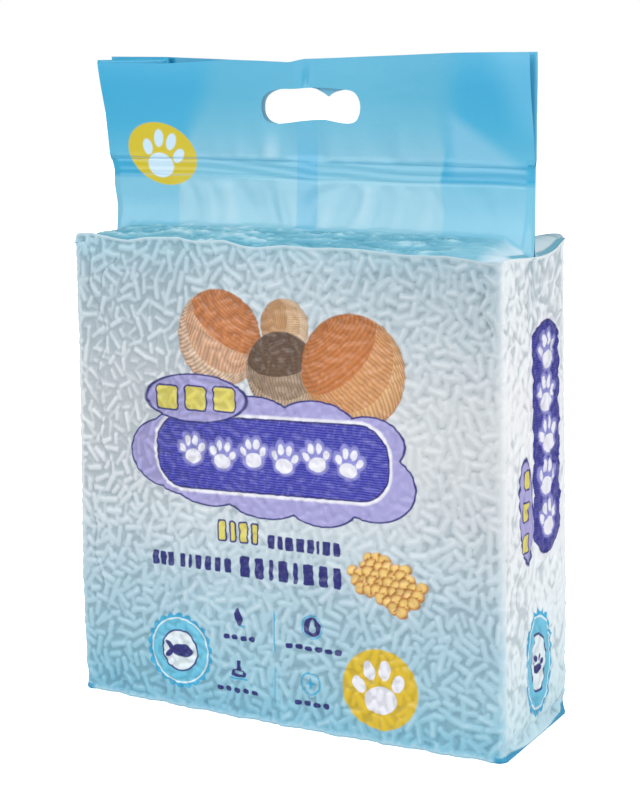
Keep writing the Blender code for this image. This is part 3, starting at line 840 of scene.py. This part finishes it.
def bead_light(x, z):
    """How light each place of the heap is: beads painted one over the other, from the top row down."""
    light = np.zeros_like(x)
    for at, level in HEAP:
        away = ((x - at + 0.5) / 4.0) ** 2 + ((z - level - 0.6) / 3.6) ** 2
        light = np.where(away < 1.15, 1.0 - away, light)
    return light


def union(shapes):
    """Distance outside the nearest of the shapes."""
    return np.minimum.reduce(shapes)


# ovals whose union is the banner's soft rim
PUFFS = (
    (-72.0, 149.0, 24.0, 20.0), (-44.0, 136.0, 26.0, 15.0), (-8.0, 131.5, 27.0, 14.0),
    (28.0, 132.0, 24.0, 15.0), (60.0, 143.0, 26.0, 20.0), (58.0, 166.0, 22.0, 15.0),
    (26.0, 173.5, 25.0, 13.5), (-12.0, 174.5, 25.0, 12.0), (-44.0, 172.0, 22.0, 13.0),
)
# rows of upright strokes below the banner: both ends, height, half height and each stroke's half width
STROKE_ROWS = (
    (-6.0, 39.4, 105.0, 3.9, (2.2, 1.7, 2.5, 2.6, 2.1, 0.9, 2.4, 2.2)),
    (-83.6, -69.4, 88.0, 4.1, (2.1, 2.0, 1.8)),
    (-64.8, -30.6, 88.2, 4.1, (1.7, 0.9, 2.1, 2.0, 1.9, 2.2)),
    (-24.6, 39.6, 88.8, 6.0, (3.1, 2.8, 1.3, 3.0, 1.4, 3.2, 2.7, 2.4)),
)
# rows of dashes under the small signs: middle, height, count and half length
DASHES = ((-26.5, 46.6, 4, 2.1), (21.5, 47.0, 6, 2.4), (-28.0, 16.0, 5, 2.2), (20.6, 15.4, 4, 2.3))


def front_fields(x, z):
    """How far each place of the front panel lies from each printed shape, in mm."""
    tall = strokes(x, z, -38.6, -12.0, 108.4, 6.4, (2.9, 2.2, 3.1, 2.4), 1.6)
    tiles = ((-70.0, 181.2, 7.6, 7.4), (-51.0, 182.0, 7.6, 7.4), (-32.0, 182.8, 7.6, 7.4))
    ink = [stroke for row in STROKE_ROWS for stroke in strokes(x, z, *row)]
    for at, level, count, half in DASHES:
        for i in range(count):
            across = at + (i - (count - 1) / 2) * (2 * half + 1.4)
            ink.append(bar(x, z, across, level + 0.3 * (i % 2), half, 1.5, 1.4))
    # leaf, drop and flask
    ink.append(np.maximum(oval(x, z, -29.6, 58.0, 5.4, 6.6), oval(x, z, -24.0, 59.6, 5.4, 6.6)))
    drop = union((oval(x, z, 20.8, 58.4, 2.2, 2.4), oval(x, z, 20.8, 60.8, 1.2, 3.0)))
    ink.append(np.maximum(oval(x, z, 20.8, 59.6, 5.6, 5.6), -drop))
    flask = union((bar(x, z, -27.0, 30.5, 1.4, 3.2, 0.5), bar(x, z, -27.0, 26.0, 4.8, 2.1, 1.4)))
    ink.append(np.maximum(flask, -bar(x, z, -27.0, 26.4, 3.2, 0.7, 0.6)))
    # fish in the badge
    for fin in ((-65.4, 33.5, 7.4, 3.9), (-74.2, 36.0, 3.5, 1.7, -40), (-74.2, 31.0, 3.5, 1.7, 40)):
        ink.append(oval(x, z, *fin))
    # dividing lines, stem, rings and cross
    thin = (
        (-3.2, 53.0, 0.55, 12.0, 0.5), (-3.0, 22.0, 0.55, 11.0, 0.5), (-24.4, 54.0, 2.2, 0.7, 0.6, -20),
        (-27.0, 23.0, 6.0, 0.6, 0.5), (19.6, 27.2, 3.4, 0.7, 0.5), (19.6, 27.2, 0.7, 3.4, 0.5),
    )
    cyan = [bar(x, z, *line) for line in thin]
    cyan.append(np.abs(oval(x, z, 20.8, 59.6, 6.4, 6.4)) - 0.5)
    cyan.append(np.abs(oval(x, z, 19.6, 27.2, 6.0, 6.0)) - 0.55)
    row = [
        paw(x, z, -54.0 + 20.0 * i, 151.6 + 0.7 * i + (0.9, -1.1)[i % 2], 9.4, turn)
        for i, turn in enumerate((6, -8, 4, -5, 9, -6))
    ]
    return {
        "rim": union([bar(x, z, -5.0, 152.0, 80.0, 24.0, 21.0, 2.0)] + [oval(x, z, *puff) for puff in PUFFS]),
        "banner": bar(x, z, -4.0, 153.0, 75.0, 22.0, 19.0, 2.0),
        "plate": oval(x, z, -51.0, 182.0, 34.5, 14.0, 2.0),
        "gold": oval(x, z, 62.6, 30.4, 23.0, 22.6, 20.0),
        "motif": union(row + [paw(x, z, 62.0, 31.0, 17.6, 8.0)]),
        "label": union(tall + [bar(x, z, *tile, 2.6) for tile in tiles]),
        "badge": scallop(x, z, -67.0, 33.5, 22.6, 22.4, 22, 0.10),
        "ring": oval(x, z, -67.0, 33.5, 22.6, 22.4),
        "ink": union(ink),
        "cyan": union(cyan),
        "heap": union([oval(x, z, at, level, 3.7, 3.3) for at, level in HEAP]),
        "bead": bead_light(x, z),
    }


# distance in mm that stands for no shape near
FAR = 50.0


def side_fields(y, z):
    """The same for a side panel: an upright banner, an oval and a badge."""
    far = np.full_like(y, FAR)
    tiles = ((-12.0, 147.0), (-13.0, 130.0), (-14.0, 113.0))
    row = [
        paw(y, z, 15.4 + (0.8, -0.8)[i % 2], 120.0 + 22.8 * i, 11.4, turn)
        for i, turn in enumerate((5, -7, 8, -4, 6))
    ]
    return {
        "rim": far,
        "banner": bar(y, z, 15.4, 165.5, 17.4, 64.5, 15.5) + 1.0 * np.cos((z - 167.0) * 0.42),
        "plate": oval(y, z, -12.4, 130.0, 9.6, 30.0, 4.0),
        "gold": far,
        "motif": union(row),
        "label": union([bar(y, z, *tile, 4.6, 5.6, 1.8) for tile in tiles]),
        "badge": scallop(y, z, 3.0, 42.0, 17.6, 31.0, 22, 0.10),
        "ring": oval(y, z, 3.0, 42.0, 17.6, 31.0) * 1.25,
        "ink": paw(y, z, 3.0, 41.0, 6.4),
        "cyan": far,
        "heap": far,
        "bead": far,
    }


FIELDS = ("rim", "banner", "plate", "gold", "motif", "label", "badge", "ring", "ink", "cyan", "heap", "bead")


def store_print(piece, points, places):
    """Keeps the distance to every printed shape at every corner, for the material to draw their edges."""
    x, y, z = points[..., 0], points[..., 1], points[..., 2]
    _, _, nx, ny = ring(places, np.array([100.0]))
    on_side, on_front = np.abs(nx) > 0.8, ny < -0.5
    front, side = front_fields(x, z), side_fields(y, z)
    for key in FIELDS:
        values = np.where(on_side, side[key], np.where(on_front, front[key], FAR))
        store(piece, key, values)


# balls of yarn: middle, half size, turn, and the colours of their two windings
BALLS = (
    (8.0, 226.0, 15.0, 110, colour(196, 148, 100), colour(232, 204, 170)),
    (-34.0, 217.0, 27.0, 0, colour(206, 128, 70), colour(240, 214, 186)),
    (6.0, 200.0, 23.0, 40, colour(104, 78, 58), colour(206, 178, 148)),
    (49.0, 204.0, 31.0, 75, colour(204, 124, 62), colour(236, 188, 132)),
)


# flat layers of print, from the lowest up: shape, way inside its edge, blur of the edge and colour
RIM_LAYERS = (
    ("rim", 0.0, 0.35, NAVY), ("rim", 0.9, 0.35, LILAC), ("banner", -1.0, 0.8, PALE), ("banner", 0.8, 0.35, NAVY),
)
PLATE_LAYERS = (("plate", 0.0, 0.35, NAVY), ("plate", 0.9, 0.35, LILAC), ("gold", 0.0, 0.6, GOLD))
TOP_LAYERS = (
    ("motif", 0.0, 0.35, PALE), ("label", 0.0, 0.35, NAVY), ("label", 1.0, 0.35, LEMON), ("badge", 0.0, 0.35, CYAN),
    ("ring", 3.0, 0.35, colour(228, 241, 246)), ("ring", 3.9, 0.35, colour(104, 194, 224)),
    ("ring", 10.0, 0.35, NAVY), ("ring", 11.0, 0.35, colour(228, 240, 246)),
    ("cyan", 0.0, 0.35, CYAN), ("ink", 0.0, 0.35, NAVY),
)


def painted_film(w, place, x, z, under, spot, on_side):
    """Everything printed on the brick, in flat shapes, over its ground colour."""
    now = under
    flat = w.add("ShaderNodeCombineXYZ", {0: x, 1: z}).outputs[0]
    field = {key: w.attribute(key) for key in FIELDS}

    def inside(key, by=0.0, blur=0.35):
        return w.ease(field[key], -by + blur, -by - blur)

    def laid(layers, now):
        for key, by, blur, tint in layers:
            now = w.mix(inside(key, by, blur), now, tint)
        return now

    yarn = yarn_group()
    faces_front = w.ease(w.parts(place)[1], -30.0, -36.0)
    for at, level, half, turn, dark, light in BALLS:
        middle = {"Middle": (at, level, 0.0), "Half": (half, half, 1.0)}
        ball = w.group(yarn, {"Place": flat, **middle, "Turn": math.radians(turn), "Blur": 0.9})
        between = w.mix(0.55, dark, (0.02, 0.01, 0.01, 1))
        wound = w.mix(ball.outputs["Strand"], between, w.mix(ball.outputs["Band"], dark, light))
        now = w.mix(w.times(ball.outputs["Mask"], faces_front), now, wound)
    now = laid(RIM_LAYERS, now)
    lines = w.maths("SINE", w.times(z, 4.4))
    striped = w.mix(w.ease(lines, -0.4, 0.8), colour(36, 37, 150), colour(82, 84, 196))
    striped = w.mix(w.times(on_side, 0.6), striped, colour(24, 18, 120))
    now = laid(PLATE_LAYERS, w.mix(inside("banner", 1.8), now, striped))
    glow = w.times(inside("motif", -1.5, 0.7), inside("banner", 1.8))
    now = laid(TOP_LAYERS, w.mix(w.times(glow, 0.8), now, colour(150, 150, 218)))
    bead = w.mix(w.ease(field["bead"], -0.1, 0.9), colour(176, 108, 30), colour(242, 204, 118))
    now = w.mix(inside("heap", 0.0, 0.6), now, bead)
    # rub and fade of the ink
    return w.mix(w.times(spot, 0.08), now, under)


# ground colours by height
FRONT_TINTS = (
    (0, (128, 190, 214)), (8, (136, 194, 216)), (20, (146, 197, 216)), (40, (164, 203, 218)), (60, (170, 203, 218)),
    (80, (181, 206, 218)), (105, (200, 214, 222)), (130, (210, 217, 223)), (165, (220, 225, 228)),
    (195, (216, 222, 226)), (220, (202, 214, 221)), (245, (187, 205, 214)), (260, (176, 202, 214)),
    (269, (168, 204, 218)),
)
# side panels: ground colours by height, paler than the front, partly print and partly painted sheen of the lit side
SIDE_TINTS_AND_SHEEN = (
    (0, (176, 218, 232)), (20, (204, 232, 241)), (45, (222, 240, 246)), (80, (234, 242, 246)),
    (110, (236, 240, 244)), (200, (238, 240, 244)), (250, (232, 239, 243)), (269, (226, 238, 243)),
)


def tint_ramp(w, height, tints, span=270.0):
    """Colours by height over the brick."""
    return w.ramp(w.maths("DIVIDE", height, span), [(z / span, colour(*tint)) for z, tint in tints])


def film_shader(w, base, bump_height, roughness):
    """Satin film: base colour, small bumps and sheen on one Principled shader."""
    bump = w.add("ShaderNodeBump", {"Height": bump_height, "Strength": 0.5, "Distance": 0.0004})
    shader = w.nodes["Principled BSDF"]
    w.put(shader.inputs["Base Color"], base)
    w.put(shader.inputs["Roughness"], roughness)
    w.put(shader.inputs["Normal"], bump.outputs[0])
    shader.inputs["Coat Weight"].default_value = 0.12
    shader.inputs["Coat Roughness"].default_value = 0.22
    shader.inputs["Specular IOR Level"].default_value = 0.42
    return shader


def new_material(name):
    """An empty material, its wiring and the place on the piece in mm."""
    material = bpy.data.materials.new(name)
    material.use_nodes = True
    w = Wiring(material.node_tree)
    coords = w.add("ShaderNodeTexCoord").outputs["Object"]
    scaled = w.vector("SCALE", coords)
    scaled.inputs["Scale"].default_value = 1000.0
    return material, w, scaled.outputs[0]


def brick_material():
    """Printed film over pellets: grey white middle, blue at both ends, flat print; painted shade between pellets,
    painted highlight on their tops, painted sheen on the sides.
    """
    material, w, place = new_material("printed_brick_film")
    x, y, z = w.parts(place)
    cloud = w.noise(place, 0.012, 3.0)
    spot = w.ease(w.noise(place, 0.35, 4.0), 0.45, 0.75)
    height = w.plus(z, w.times(w.minus(cloud, 0.5), 26.0))
    on_side = w.ease(w.maths("ABSOLUTE", w.minus(x, w.times(z, 0.008))), 128.6, 132.6)
    on_side = w.times(on_side, w.ease(w.maths("ABSOLUTE", y), 42.6, 38.5))
    ground = w.mix(on_side, tint_ramp(w, height, FRONT_TINTS), tint_ramp(w, height, SIDE_TINTS_AND_SHEEN))
    relief = w.attribute("relief")
    # painted shade between pellets and painted highlight on pellet tops, both read from the film's relief
    painted_valley_shade, top = w.ease(relief, -0.7, -1.6), w.ease(relief, -0.55, -0.1)
    shaded = w.mix(1.0, ground, (0.66, 0.76, 0.81, 1.0), "MULTIPLY")
    ground = w.mix(w.times(painted_valley_shade, 0.55), ground, shaded)
    ground = w.mix(w.times(top, 0.22), ground, colour(244, 248, 250))
    # painted shade: the front panel darker towards its right, from about a third of its height up
    painted_shade_right = w.times(w.ease(x, -40.0, 136.0), w.ease(z, 80.0, 160.0))
    painted_shade_right = w.times(painted_shade_right, w.minus(1.0, on_side))
    ground = w.mix(w.times(painted_shade_right, 0.14), ground, (0.0, 0.03, 0.05, 1.0))
    # painted sheen: the side panels whitened a little more
    ground = w.mix(w.times(on_side, 0.08), ground, colour(255, 255, 255))
    base = painted_film(w, place, x, z, ground, spot, on_side)
    # painted shade: the print is darkened between pellets too
    base = w.mix(w.times(painted_valley_shade, 0.22), base, (0.0, 0.0, 0.0, 1.0))
    # teal where each side panel tucks in at its foot: the print's blue with painted shade of the tuck
    away = w.maths("ABSOLUTE", y)
    tuck_line = w.plus(w.times(w.ease(away, 8.0, 40.0), 2.4), 1.0)
    tuck_line = w.plus(tuck_line, w.times(w.ease(y, 33.0, 41.0), 3.0))
    tuck_shade_and_blue = w.ease(w.minus(tuck_line, z), -0.5, 0.5)
    tuck_shade_and_blue = w.times(tuck_shade_and_blue, w.ease(w.maths("ABSOLUTE", x), 128.0, 131.0))
    base = w.mix(tuck_shade_and_blue, base, colour(44, 146, 186))
    grain = w.noise(place, 0.55, 4.0, 0.6)
    roughness = w.ease(cloud, -0.6, 1.8)
    film_shader(w, base, grain, w.plus(w.times(roughness, 0.16), 0.30))
    return material


# header colours by height: where two layers of film lie together, and over the gusset where there are four
HEADER_INNER = (
    (268, (140, 190, 208)), (276, (142, 196, 214)), (298, (144, 197, 216)), (302, (118, 187, 211)),
    (309, (112, 183, 209)), (313, (124, 186, 210)), (330, (100, 179, 207)), (345, (78, 170, 203)),
    (368, (66, 167, 202)),
)
HEADER_OUTER = (
    (268, (130, 191, 213)), (276, (122, 190, 215)), (299, (114, 187, 214)), (301.5, (42, 162, 202)),
    (309, (42, 162, 202)), (312, (82, 175, 209)), (330, (54, 166, 206)), (350, (40, 161, 204)), (368, (48, 165, 206)),
)
# how strongly the back seam shows through, by height
SEAM_DEPTH = ((0.0, 0.45), (0.32, 0.55), (0.42, 0.95), (0.55, 0.30), (1.0, 0.12))
# painted shade of the cross seal's creases, as thin dark lines: height, slope and strength
SEAL_LINES = ((310.1, -0.011, 0.42), (300.9, -0.008, 0.25), (306.4, -0.030, 0.2), (303.2, 0.016, 0.16))
# roof colours from its hollows to its ridges: teal film, with painted shade in the hollows and painted highlight on
# the ridges
ROOF_TINTS = ((0.0, (84, 156, 178)), (0.35, (112, 176, 196)), (0.6, (140, 194, 210)), (0.88, (184, 218, 229)))


def header_print(w, place, under):
    """The yellow disc on the header, with a pale paw."""
    oval_mask = oval_group()
    disc = {"Middle": (-94.0, 313.4, 0.0), "Half": (23.6, 17.0, 1.0), "Turn": math.radians(-18.0)}
    now = w.mix(w.group(oval_mask, {"Place": place, **disc, "Blur": 0.7}).outputs[0], under, colour(204, 184, 20))
    pad = {"Middle": (-94.0, 312.6, 0.0), "Half": (15.6, 15.6, 1.0), "Turn": math.radians(-14.0)}
    mask = w.group(paw_group(oval_mask), {"Place": place, **pad, "Blur": 0.7}).outputs[0]
    return w.mix(mask, now, colour(196, 222, 238))


def header_material():
    """Clear blue film: paler where only two layers lie together, deeper over the gusset, darker on the seam."""
    material, w, place = new_material("header_film")
    x, y, z = w.parts(place)
    share = w.maths("DIVIDE", w.minus(z, HEADER_FOOT), 100.0)
    inner, outer = (
        w.ramp(share, [((level - HEADER_FOOT) / 100.0, colour(*tint)) for level, tint in tints])
        for tints in (HEADER_INNER, HEADER_OUTER)
    )
    warp = w.noise(place, 0.05, 3.0)
    shift = w.times(w.minus(warp, 0.5), 7.0)
    left_line = w.plus(w.times(w.ease(z, 296.0, 368.0), 24.0), -83.0)
    right_line = w.plus(w.times(w.maths("ABSOLUTE", w.minus(z, 300.0)), 0.135), 81.0)
    blur = w.plus(w.times(w.ease(z, 312.0, 340.0), 9.0), 1.2)
    past_left = w.maths("DIVIDE", w.minus(w.plus(left_line, shift), x), blur)
    past_right = w.maths("DIVIDE", w.minus(w.plus(x, shift), right_line), blur)
    gusset = w.ease(w.maths("MAXIMUM", past_left, past_right), -1.0, 1.0)
    base = w.mix(gusset, inner, outer)
    # painted sheen: paler below a slanting line on the right; the top right corner is paler too
    slant = w.times(w.minus(x, 88.0), 0.69)
    slant = w.minus(w.minus(340.0, slant), z)
    painted_sheen = w.times(w.ease(slant, -2.0, 9.0), w.ease(w.plus(x, shift), 82.0, 92.0))
    painted_sheen = w.times(painted_sheen, w.ease(z, 298.0, 313.0))
    base = w.mix(w.times(painted_sheen, 0.84), base, colour(121, 187, 216))
    corner = w.plus(x, w.times(w.minus(z, 340.0), 0.35))
    corner = w.times(w.ease(corner, 112.0, 134.0), w.ease(z, 318.0, 332.0))
    base = w.mix(w.times(corner, 0.5), base, colour(106, 188, 223))
    # back seam seen through the film
    seam = w.ease(w.maths("ABSOLUTE", w.minus(x, 0.4)), 7.2, 5.6)
    depth = w.ramp(share, [(at_height, (strength,) * 3 + (1,)) for at_height, strength in SEAM_DEPTH])
    base = w.mix(w.times(seam, depth), base, colour(82, 174, 212))
    front = header_print(w, w.add("ShaderNodeCombineXYZ", {0: x, 1: z}).outputs[0], base)
    base = w.mix(w.ease(y, 0.8, -0.4), base, front)
    # painted shade along the creases of the cross seal
    for offset, tilt, share_of in SEAL_LINES:
        line = w.plus(w.times(x, tilt), offset)
        waver = w.plus(line, w.times(w.minus(warp, 0.5), 2.4))
        near = w.ease(w.maths("ABSOLUTE", w.minus(z, waver)), 0.6, 0.1)
        base = w.mix(w.times(near, share_of), base, colour(58, 150, 192))
    fold = w.attribute("relief")
    roof = w.times(w.ease(w.maths("ABSOLUTE", y), 5.0, 7.5), w.ease(z, 281.0, 277.0))
    # teal roof film with painted shade in its hollows and painted highlight on its ridges
    crumpled = w.ramp(w.ease(fold, -1.7, 1.3), [(stop, colour(*tint)) for stop, tint in ROOF_TINTS])
    crumpled = w.mix(w.times(w.ease(x, 116.0, 130.0), 0.8), crumpled, colour(222, 234, 240))
    # painted shade: teal in the slot between the side panel's top edge and the roof
    slot = w.times(w.ease(x, 130.6, 132.4), w.ease(y, -36.0, -26.0))
    crumpled = w.mix(w.times(slot, 0.85), crumpled, colour(52, 152, 178))
    base = w.mix(roof, base, crumpled)
    fold = w.times(fold, w.minus(1.0, roof))
    # painted highlight on the ridges of the neck folds and painted shade in their hollows
    base = w.mix(w.times(w.ease(fold, 0.1, 1.1), 0.30), base, colour(226, 242, 250))
    base = w.mix(w.times(w.ease(fold, -0.1, -1.0), 0.30), base, colour(96, 176, 208))
    # light caught by the back ply's inner face, seen through the handle hole
    facing = w.parts(w.add("ShaderNodeNewGeometry").outputs["Normal"])[1]
    caught = w.times(w.ease(facing, 0.2, -0.2), w.ease(y, 0.2, 0.7))
    caught = w.times(caught, w.ease(x, -14.0, -19.0))
    caught = w.times(caught, w.ease(x, -34.0, -29.0))
    caught = w.times(caught, w.ease(w.maths("ABSOLUTE", w.minus(z, 340.0)), 14.0, 10.5))
    base = w.mix(w.times(caught, 0.85), base, colour(186, 232, 248))
    grain = w.noise(place, 0.09, 5.0, 0.55)
    roughness = w.plus(w.times(warp, 0.10), 0.26)
    shader = film_shader(w, base, grain, roughness)
    # painted light: the header glows faintly in its own colour
    w.put(shader.inputs["Emission Color"], base)
    shader.inputs["Emission Strength"].default_value = 0.05
    return material


def length_setting(name, description, default):
    """A length that a user may change, in metres."""
    return bpy.props.FloatProperty(
        name=name, description=description, default=default, unit="LENGTH", subtype="DISTANCE")


class BagSettings(bpy.types.PropertyGroup):
    """Sizes that shape the bag's film."""

    pellet_seed: bpy.props.IntProperty(
        name="Pellet seed", description="Which random lie the pellets have", default=11)
    pellet_length: length_setting("Pellet length", "Length of a middling pellet", 0.0160)
    pellet_radius: length_setting("Pellet radius", "Half thickness of a pellet", 0.0023)
    relief_depth: length_setting("Relief depth", "How far the film is drawn in between pellets", 0.0020)
    film_thickness: length_setting("Film thickness", "Thickness of the header's film", 0.0003)
    field_step: bpy.props.FloatProperty(
        name="Field step", description="Step of the pellet field in mm", default=0.5)
    mesh_step: bpy.props.FloatProperty(
        name="Mesh step", description="Mesh step of the front film in mm", default=1.0)


CACHE = {}


def relief_for(bag):
    """The film's relief, made once for both halves of the brick."""
    if "relief" not in CACHE:
        CACHE["relief"] = Relief(bag)
    return CACHE["relief"]


def material_for(name, maker):
    """The material of that name, made when it is first asked for."""
    return bpy.data.materials.get(name) or maker()


def make_brick_half(name, bag, places):
    """One half of the brick's skin, from gusset crease to gusset crease."""
    places = np.array(places)
    points, relief = brick_skin(relief_for(bag), places, skin_levels(bag.mesh_step))
    piece = new_sheet(name, points, material_for("printed_brick_film", brick_material))
    store(piece, "relief", relief)
    store_print(piece, points, places)
    finish_piece(piece)


class MakeFrontFilm(bpy.types.Operator):
    """Front panel with the front half of both side gussets."""

    bl_idname = "litter_bag.front_film"
    bl_label = "Front film"

    def execute(self, context):
        bag = context.scene.litter_bag
        half = ring_length() / 2
        step = bag.mesh_step
        make_brick_half("front_film", bag, run(0.0, 40.0, 2.4 * step) + run(40.0, half, step) + [half])
        return {"FINISHED"}


class MakeBackFilm(bpy.types.Operator):
    """Back panel with the back half of both side gussets."""

    bl_idname = "litter_bag.back_film"
    bl_label = "Back film"

    def execute(self, context):
        bag = context.scene.litter_bag
        half = ring_length() / 2
        step = bag.mesh_step
        places = run(half, half + 48.0, step) + run(half + 48.0, 2 * half - 40.0, 1.55 * step)
        places += run(2 * half - 40.0, 2 * half, 2.4 * step) + [2 * half]
        make_brick_half("back_film", bag, places)
        return {"FINISHED"}


class MakeBaseFilm(bpy.types.Operator):
    """Folded base with its cross seal."""

    bl_idname = "litter_bag.base_film"
    bl_label = "Base film"

    def execute(self, context):
        cols, rows = 137, 45
        x = np.linspace(-131.0, 131.0, cols)[None, :] * np.ones((rows, 1))
        y = np.linspace(38.0, -38.0, rows)[:, None] * np.ones((1, cols))
        lumps = random_field(rows, cols, 5, 5, 71)
        fin = np.exp(-((y / 5.0) ** 4)) * 0.5
        slant = np.abs(np.abs(y) - (131.0 - np.abs(x))) < 1.2
        z = 1.0 + 0.25 * lumps - fin + 0.5 * slant
        points = np.stack([x, y, np.clip(z, 0.15, None)], axis=-1)
        piece = new_sheet("base_film", points, material_for("printed_brick_film", brick_material))
        store(piece, "relief", lumps * 0.3 - 0.5)
        finish_piece(piece)
        return {"FINISHED"}


class MakeHeaderFilm(bpy.types.Operator):
    """Roof and header: front and back film, the gussets between them and the die cut handle."""

    bl_idname = "litter_bag.header_film"
    bl_label = "Header film"

    def execute(self, context):
        bag = context.scene.litter_bag
        material = material_for("header_film", header_material)
        for name, front, outline in (("header_front", True, FRONT_HOLE), ("header_back", False, BACK_HOLE)):
            points, relief = header_sheet(front)
            piece = new_sheet(name, points, material)
            store(piece, "relief", relief)
            thicken_and_cut(piece, outline, bag, front)
            finish_piece(piece)
        for kind, sheet, relief in (("gusset", gusset_sheet, -0.3), ("tuck", tuck_sheet, -1.6)):
            for name, side in (("right", 1.0), ("left", -1.0)):
                points = sheet(side)
                piece = new_sheet(kind + "_" + name, points, material)
                store(piece, "relief", np.full(points.shape[:2], relief))
                apply_modifier(piece, "SOLIDIFY", thickness=bag.film_thickness, offset=0.0)
                finish_piece(piece)
        return {"FINISHED"}


class MakeStage(bpy.types.Operator):
    """White floor and backdrop, soft studio lights and the camera."""

    bl_idname = "litter_bag.stage"
    bl_label = "Stage"

    def execute(self, context):
        bpy.ops.object.select_all(action="DESELECT")
        bpy.ops.mesh.primitive_plane_add(size=12.0, location=(0.0, 0.0, 0.0))
        floor = context.object
        floor.name = "studio_floor"
        material = bpy.data.materials.new("white_floor")
        material.use_nodes = True
        w = Wiring(material.node_tree)
        shader = w.nodes["Principled BSDF"]
        place = w.add("ShaderNodeTexCoord").outputs["Object"]
        grain = w.noise(place, 3.0)
        plain = w.mix(grain, (0.78, 0.78, 0.78, 1.0), (0.82, 0.82, 0.82, 1.0))
        w.put(shader.inputs["Base Color"], w.mix(self.seen(w), plain, (FLOOR_TO_CAMERA,) * 3 + (1.0,)))
        shader.inputs["Roughness"].default_value = 1.0
        shader.inputs["Specular IOR Level"].default_value = 0.0
        floor.data.materials.append(material)
        self.world(context)
        for name, place, size, power in SOFT_BOXES:
            light = bpy.data.lights.new(name, "AREA")
            light.size = size
            light.energy = power
            lamp = bpy.data.objects.new(name, light)
            context.scene.collection.objects.link(lamp)
            lamp.location = place
            lamp.rotation_euler = (Vector(AIM) - Vector(place)).to_track_quat("-Z", "Y").to_euler()
        eye = bpy.data.cameras.new("photo_view")
        eye.sensor_fit = "VERTICAL"
        eye.sensor_height = 36.0
        eye.lens = LENS
        eye.shift_x, eye.shift_y = FRAME_SHIFT
        camera = bpy.data.objects.new("photo_view", eye)
        context.scene.collection.objects.link(camera)
        camera.location = CAMERA_PLACE
        camera.rotation_euler = CAMERA_TURN
        context.scene.camera = camera
        context.scene.view_settings.view_transform = "Standard"
        return {"FINISHED"}

    def seen(self, w):
        """1 where the camera sees the surface itself, or through something clear."""
        path = w.add("ShaderNodeLightPath")
        return w.maths("MAXIMUM", path.outputs["Is Camera Ray"], path.outputs["Is Transmission Ray"])

    def world(self, context):
        """Soft grey light all round, which shows white behind the bag."""
        world = bpy.data.worlds.new("white_studio")
        world.use_nodes = True
        w = Wiring(world.node_tree)
        tint = w.mix(self.seen(w), (WORLD_LIGHT,) * 3 + (1.0,), (1.0, 1.0, 1.0, 1.0))
        w.put(w.nodes["Background"].inputs["Color"], tint)
        context.scene.world = world


class LitterBagPanel(bpy.types.Panel):
    """Settings and buttons in the sidebar."""

    bl_idname = "VIEW3D_PT_litter_bag"
    bl_label = "Litter bag"
    bl_space_type = "VIEW_3D"
    bl_region_type = "UI"
    bl_category = "Litter bag"

    def draw(self, context):
        for key in BagSettings.__annotations__:
            self.layout.prop(context.scene.litter_bag, key)
        for step in STEPS:
            self.layout.operator(step.bl_idname)


STEPS = (MakeFrontFilm, MakeBackFilm, MakeBaseFilm, MakeHeaderFilm, MakeStage)
CLASSES = (BagSettings, *STEPS, LitterBagPanel)


def register():
    for kind in CLASSES:
        bpy.utils.register_class(kind)
    bpy.types.Scene.litter_bag = bpy.props.PointerProperty(type=BagSettings)


def unregister():
    del bpy.types.Scene.litter_bag
    for kind in reversed(CLASSES):
        bpy.utils.unregister_class(kind)


def main():
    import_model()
    register()
    bpy.ops.litter_bag.front_film()
    bpy.ops.litter_bag.back_film()
    bpy.ops.litter_bag.base_film()
    bpy.ops.litter_bag.header_film()
    bpy.ops.litter_bag.stage()


if __name__ == "__main__":
    main()
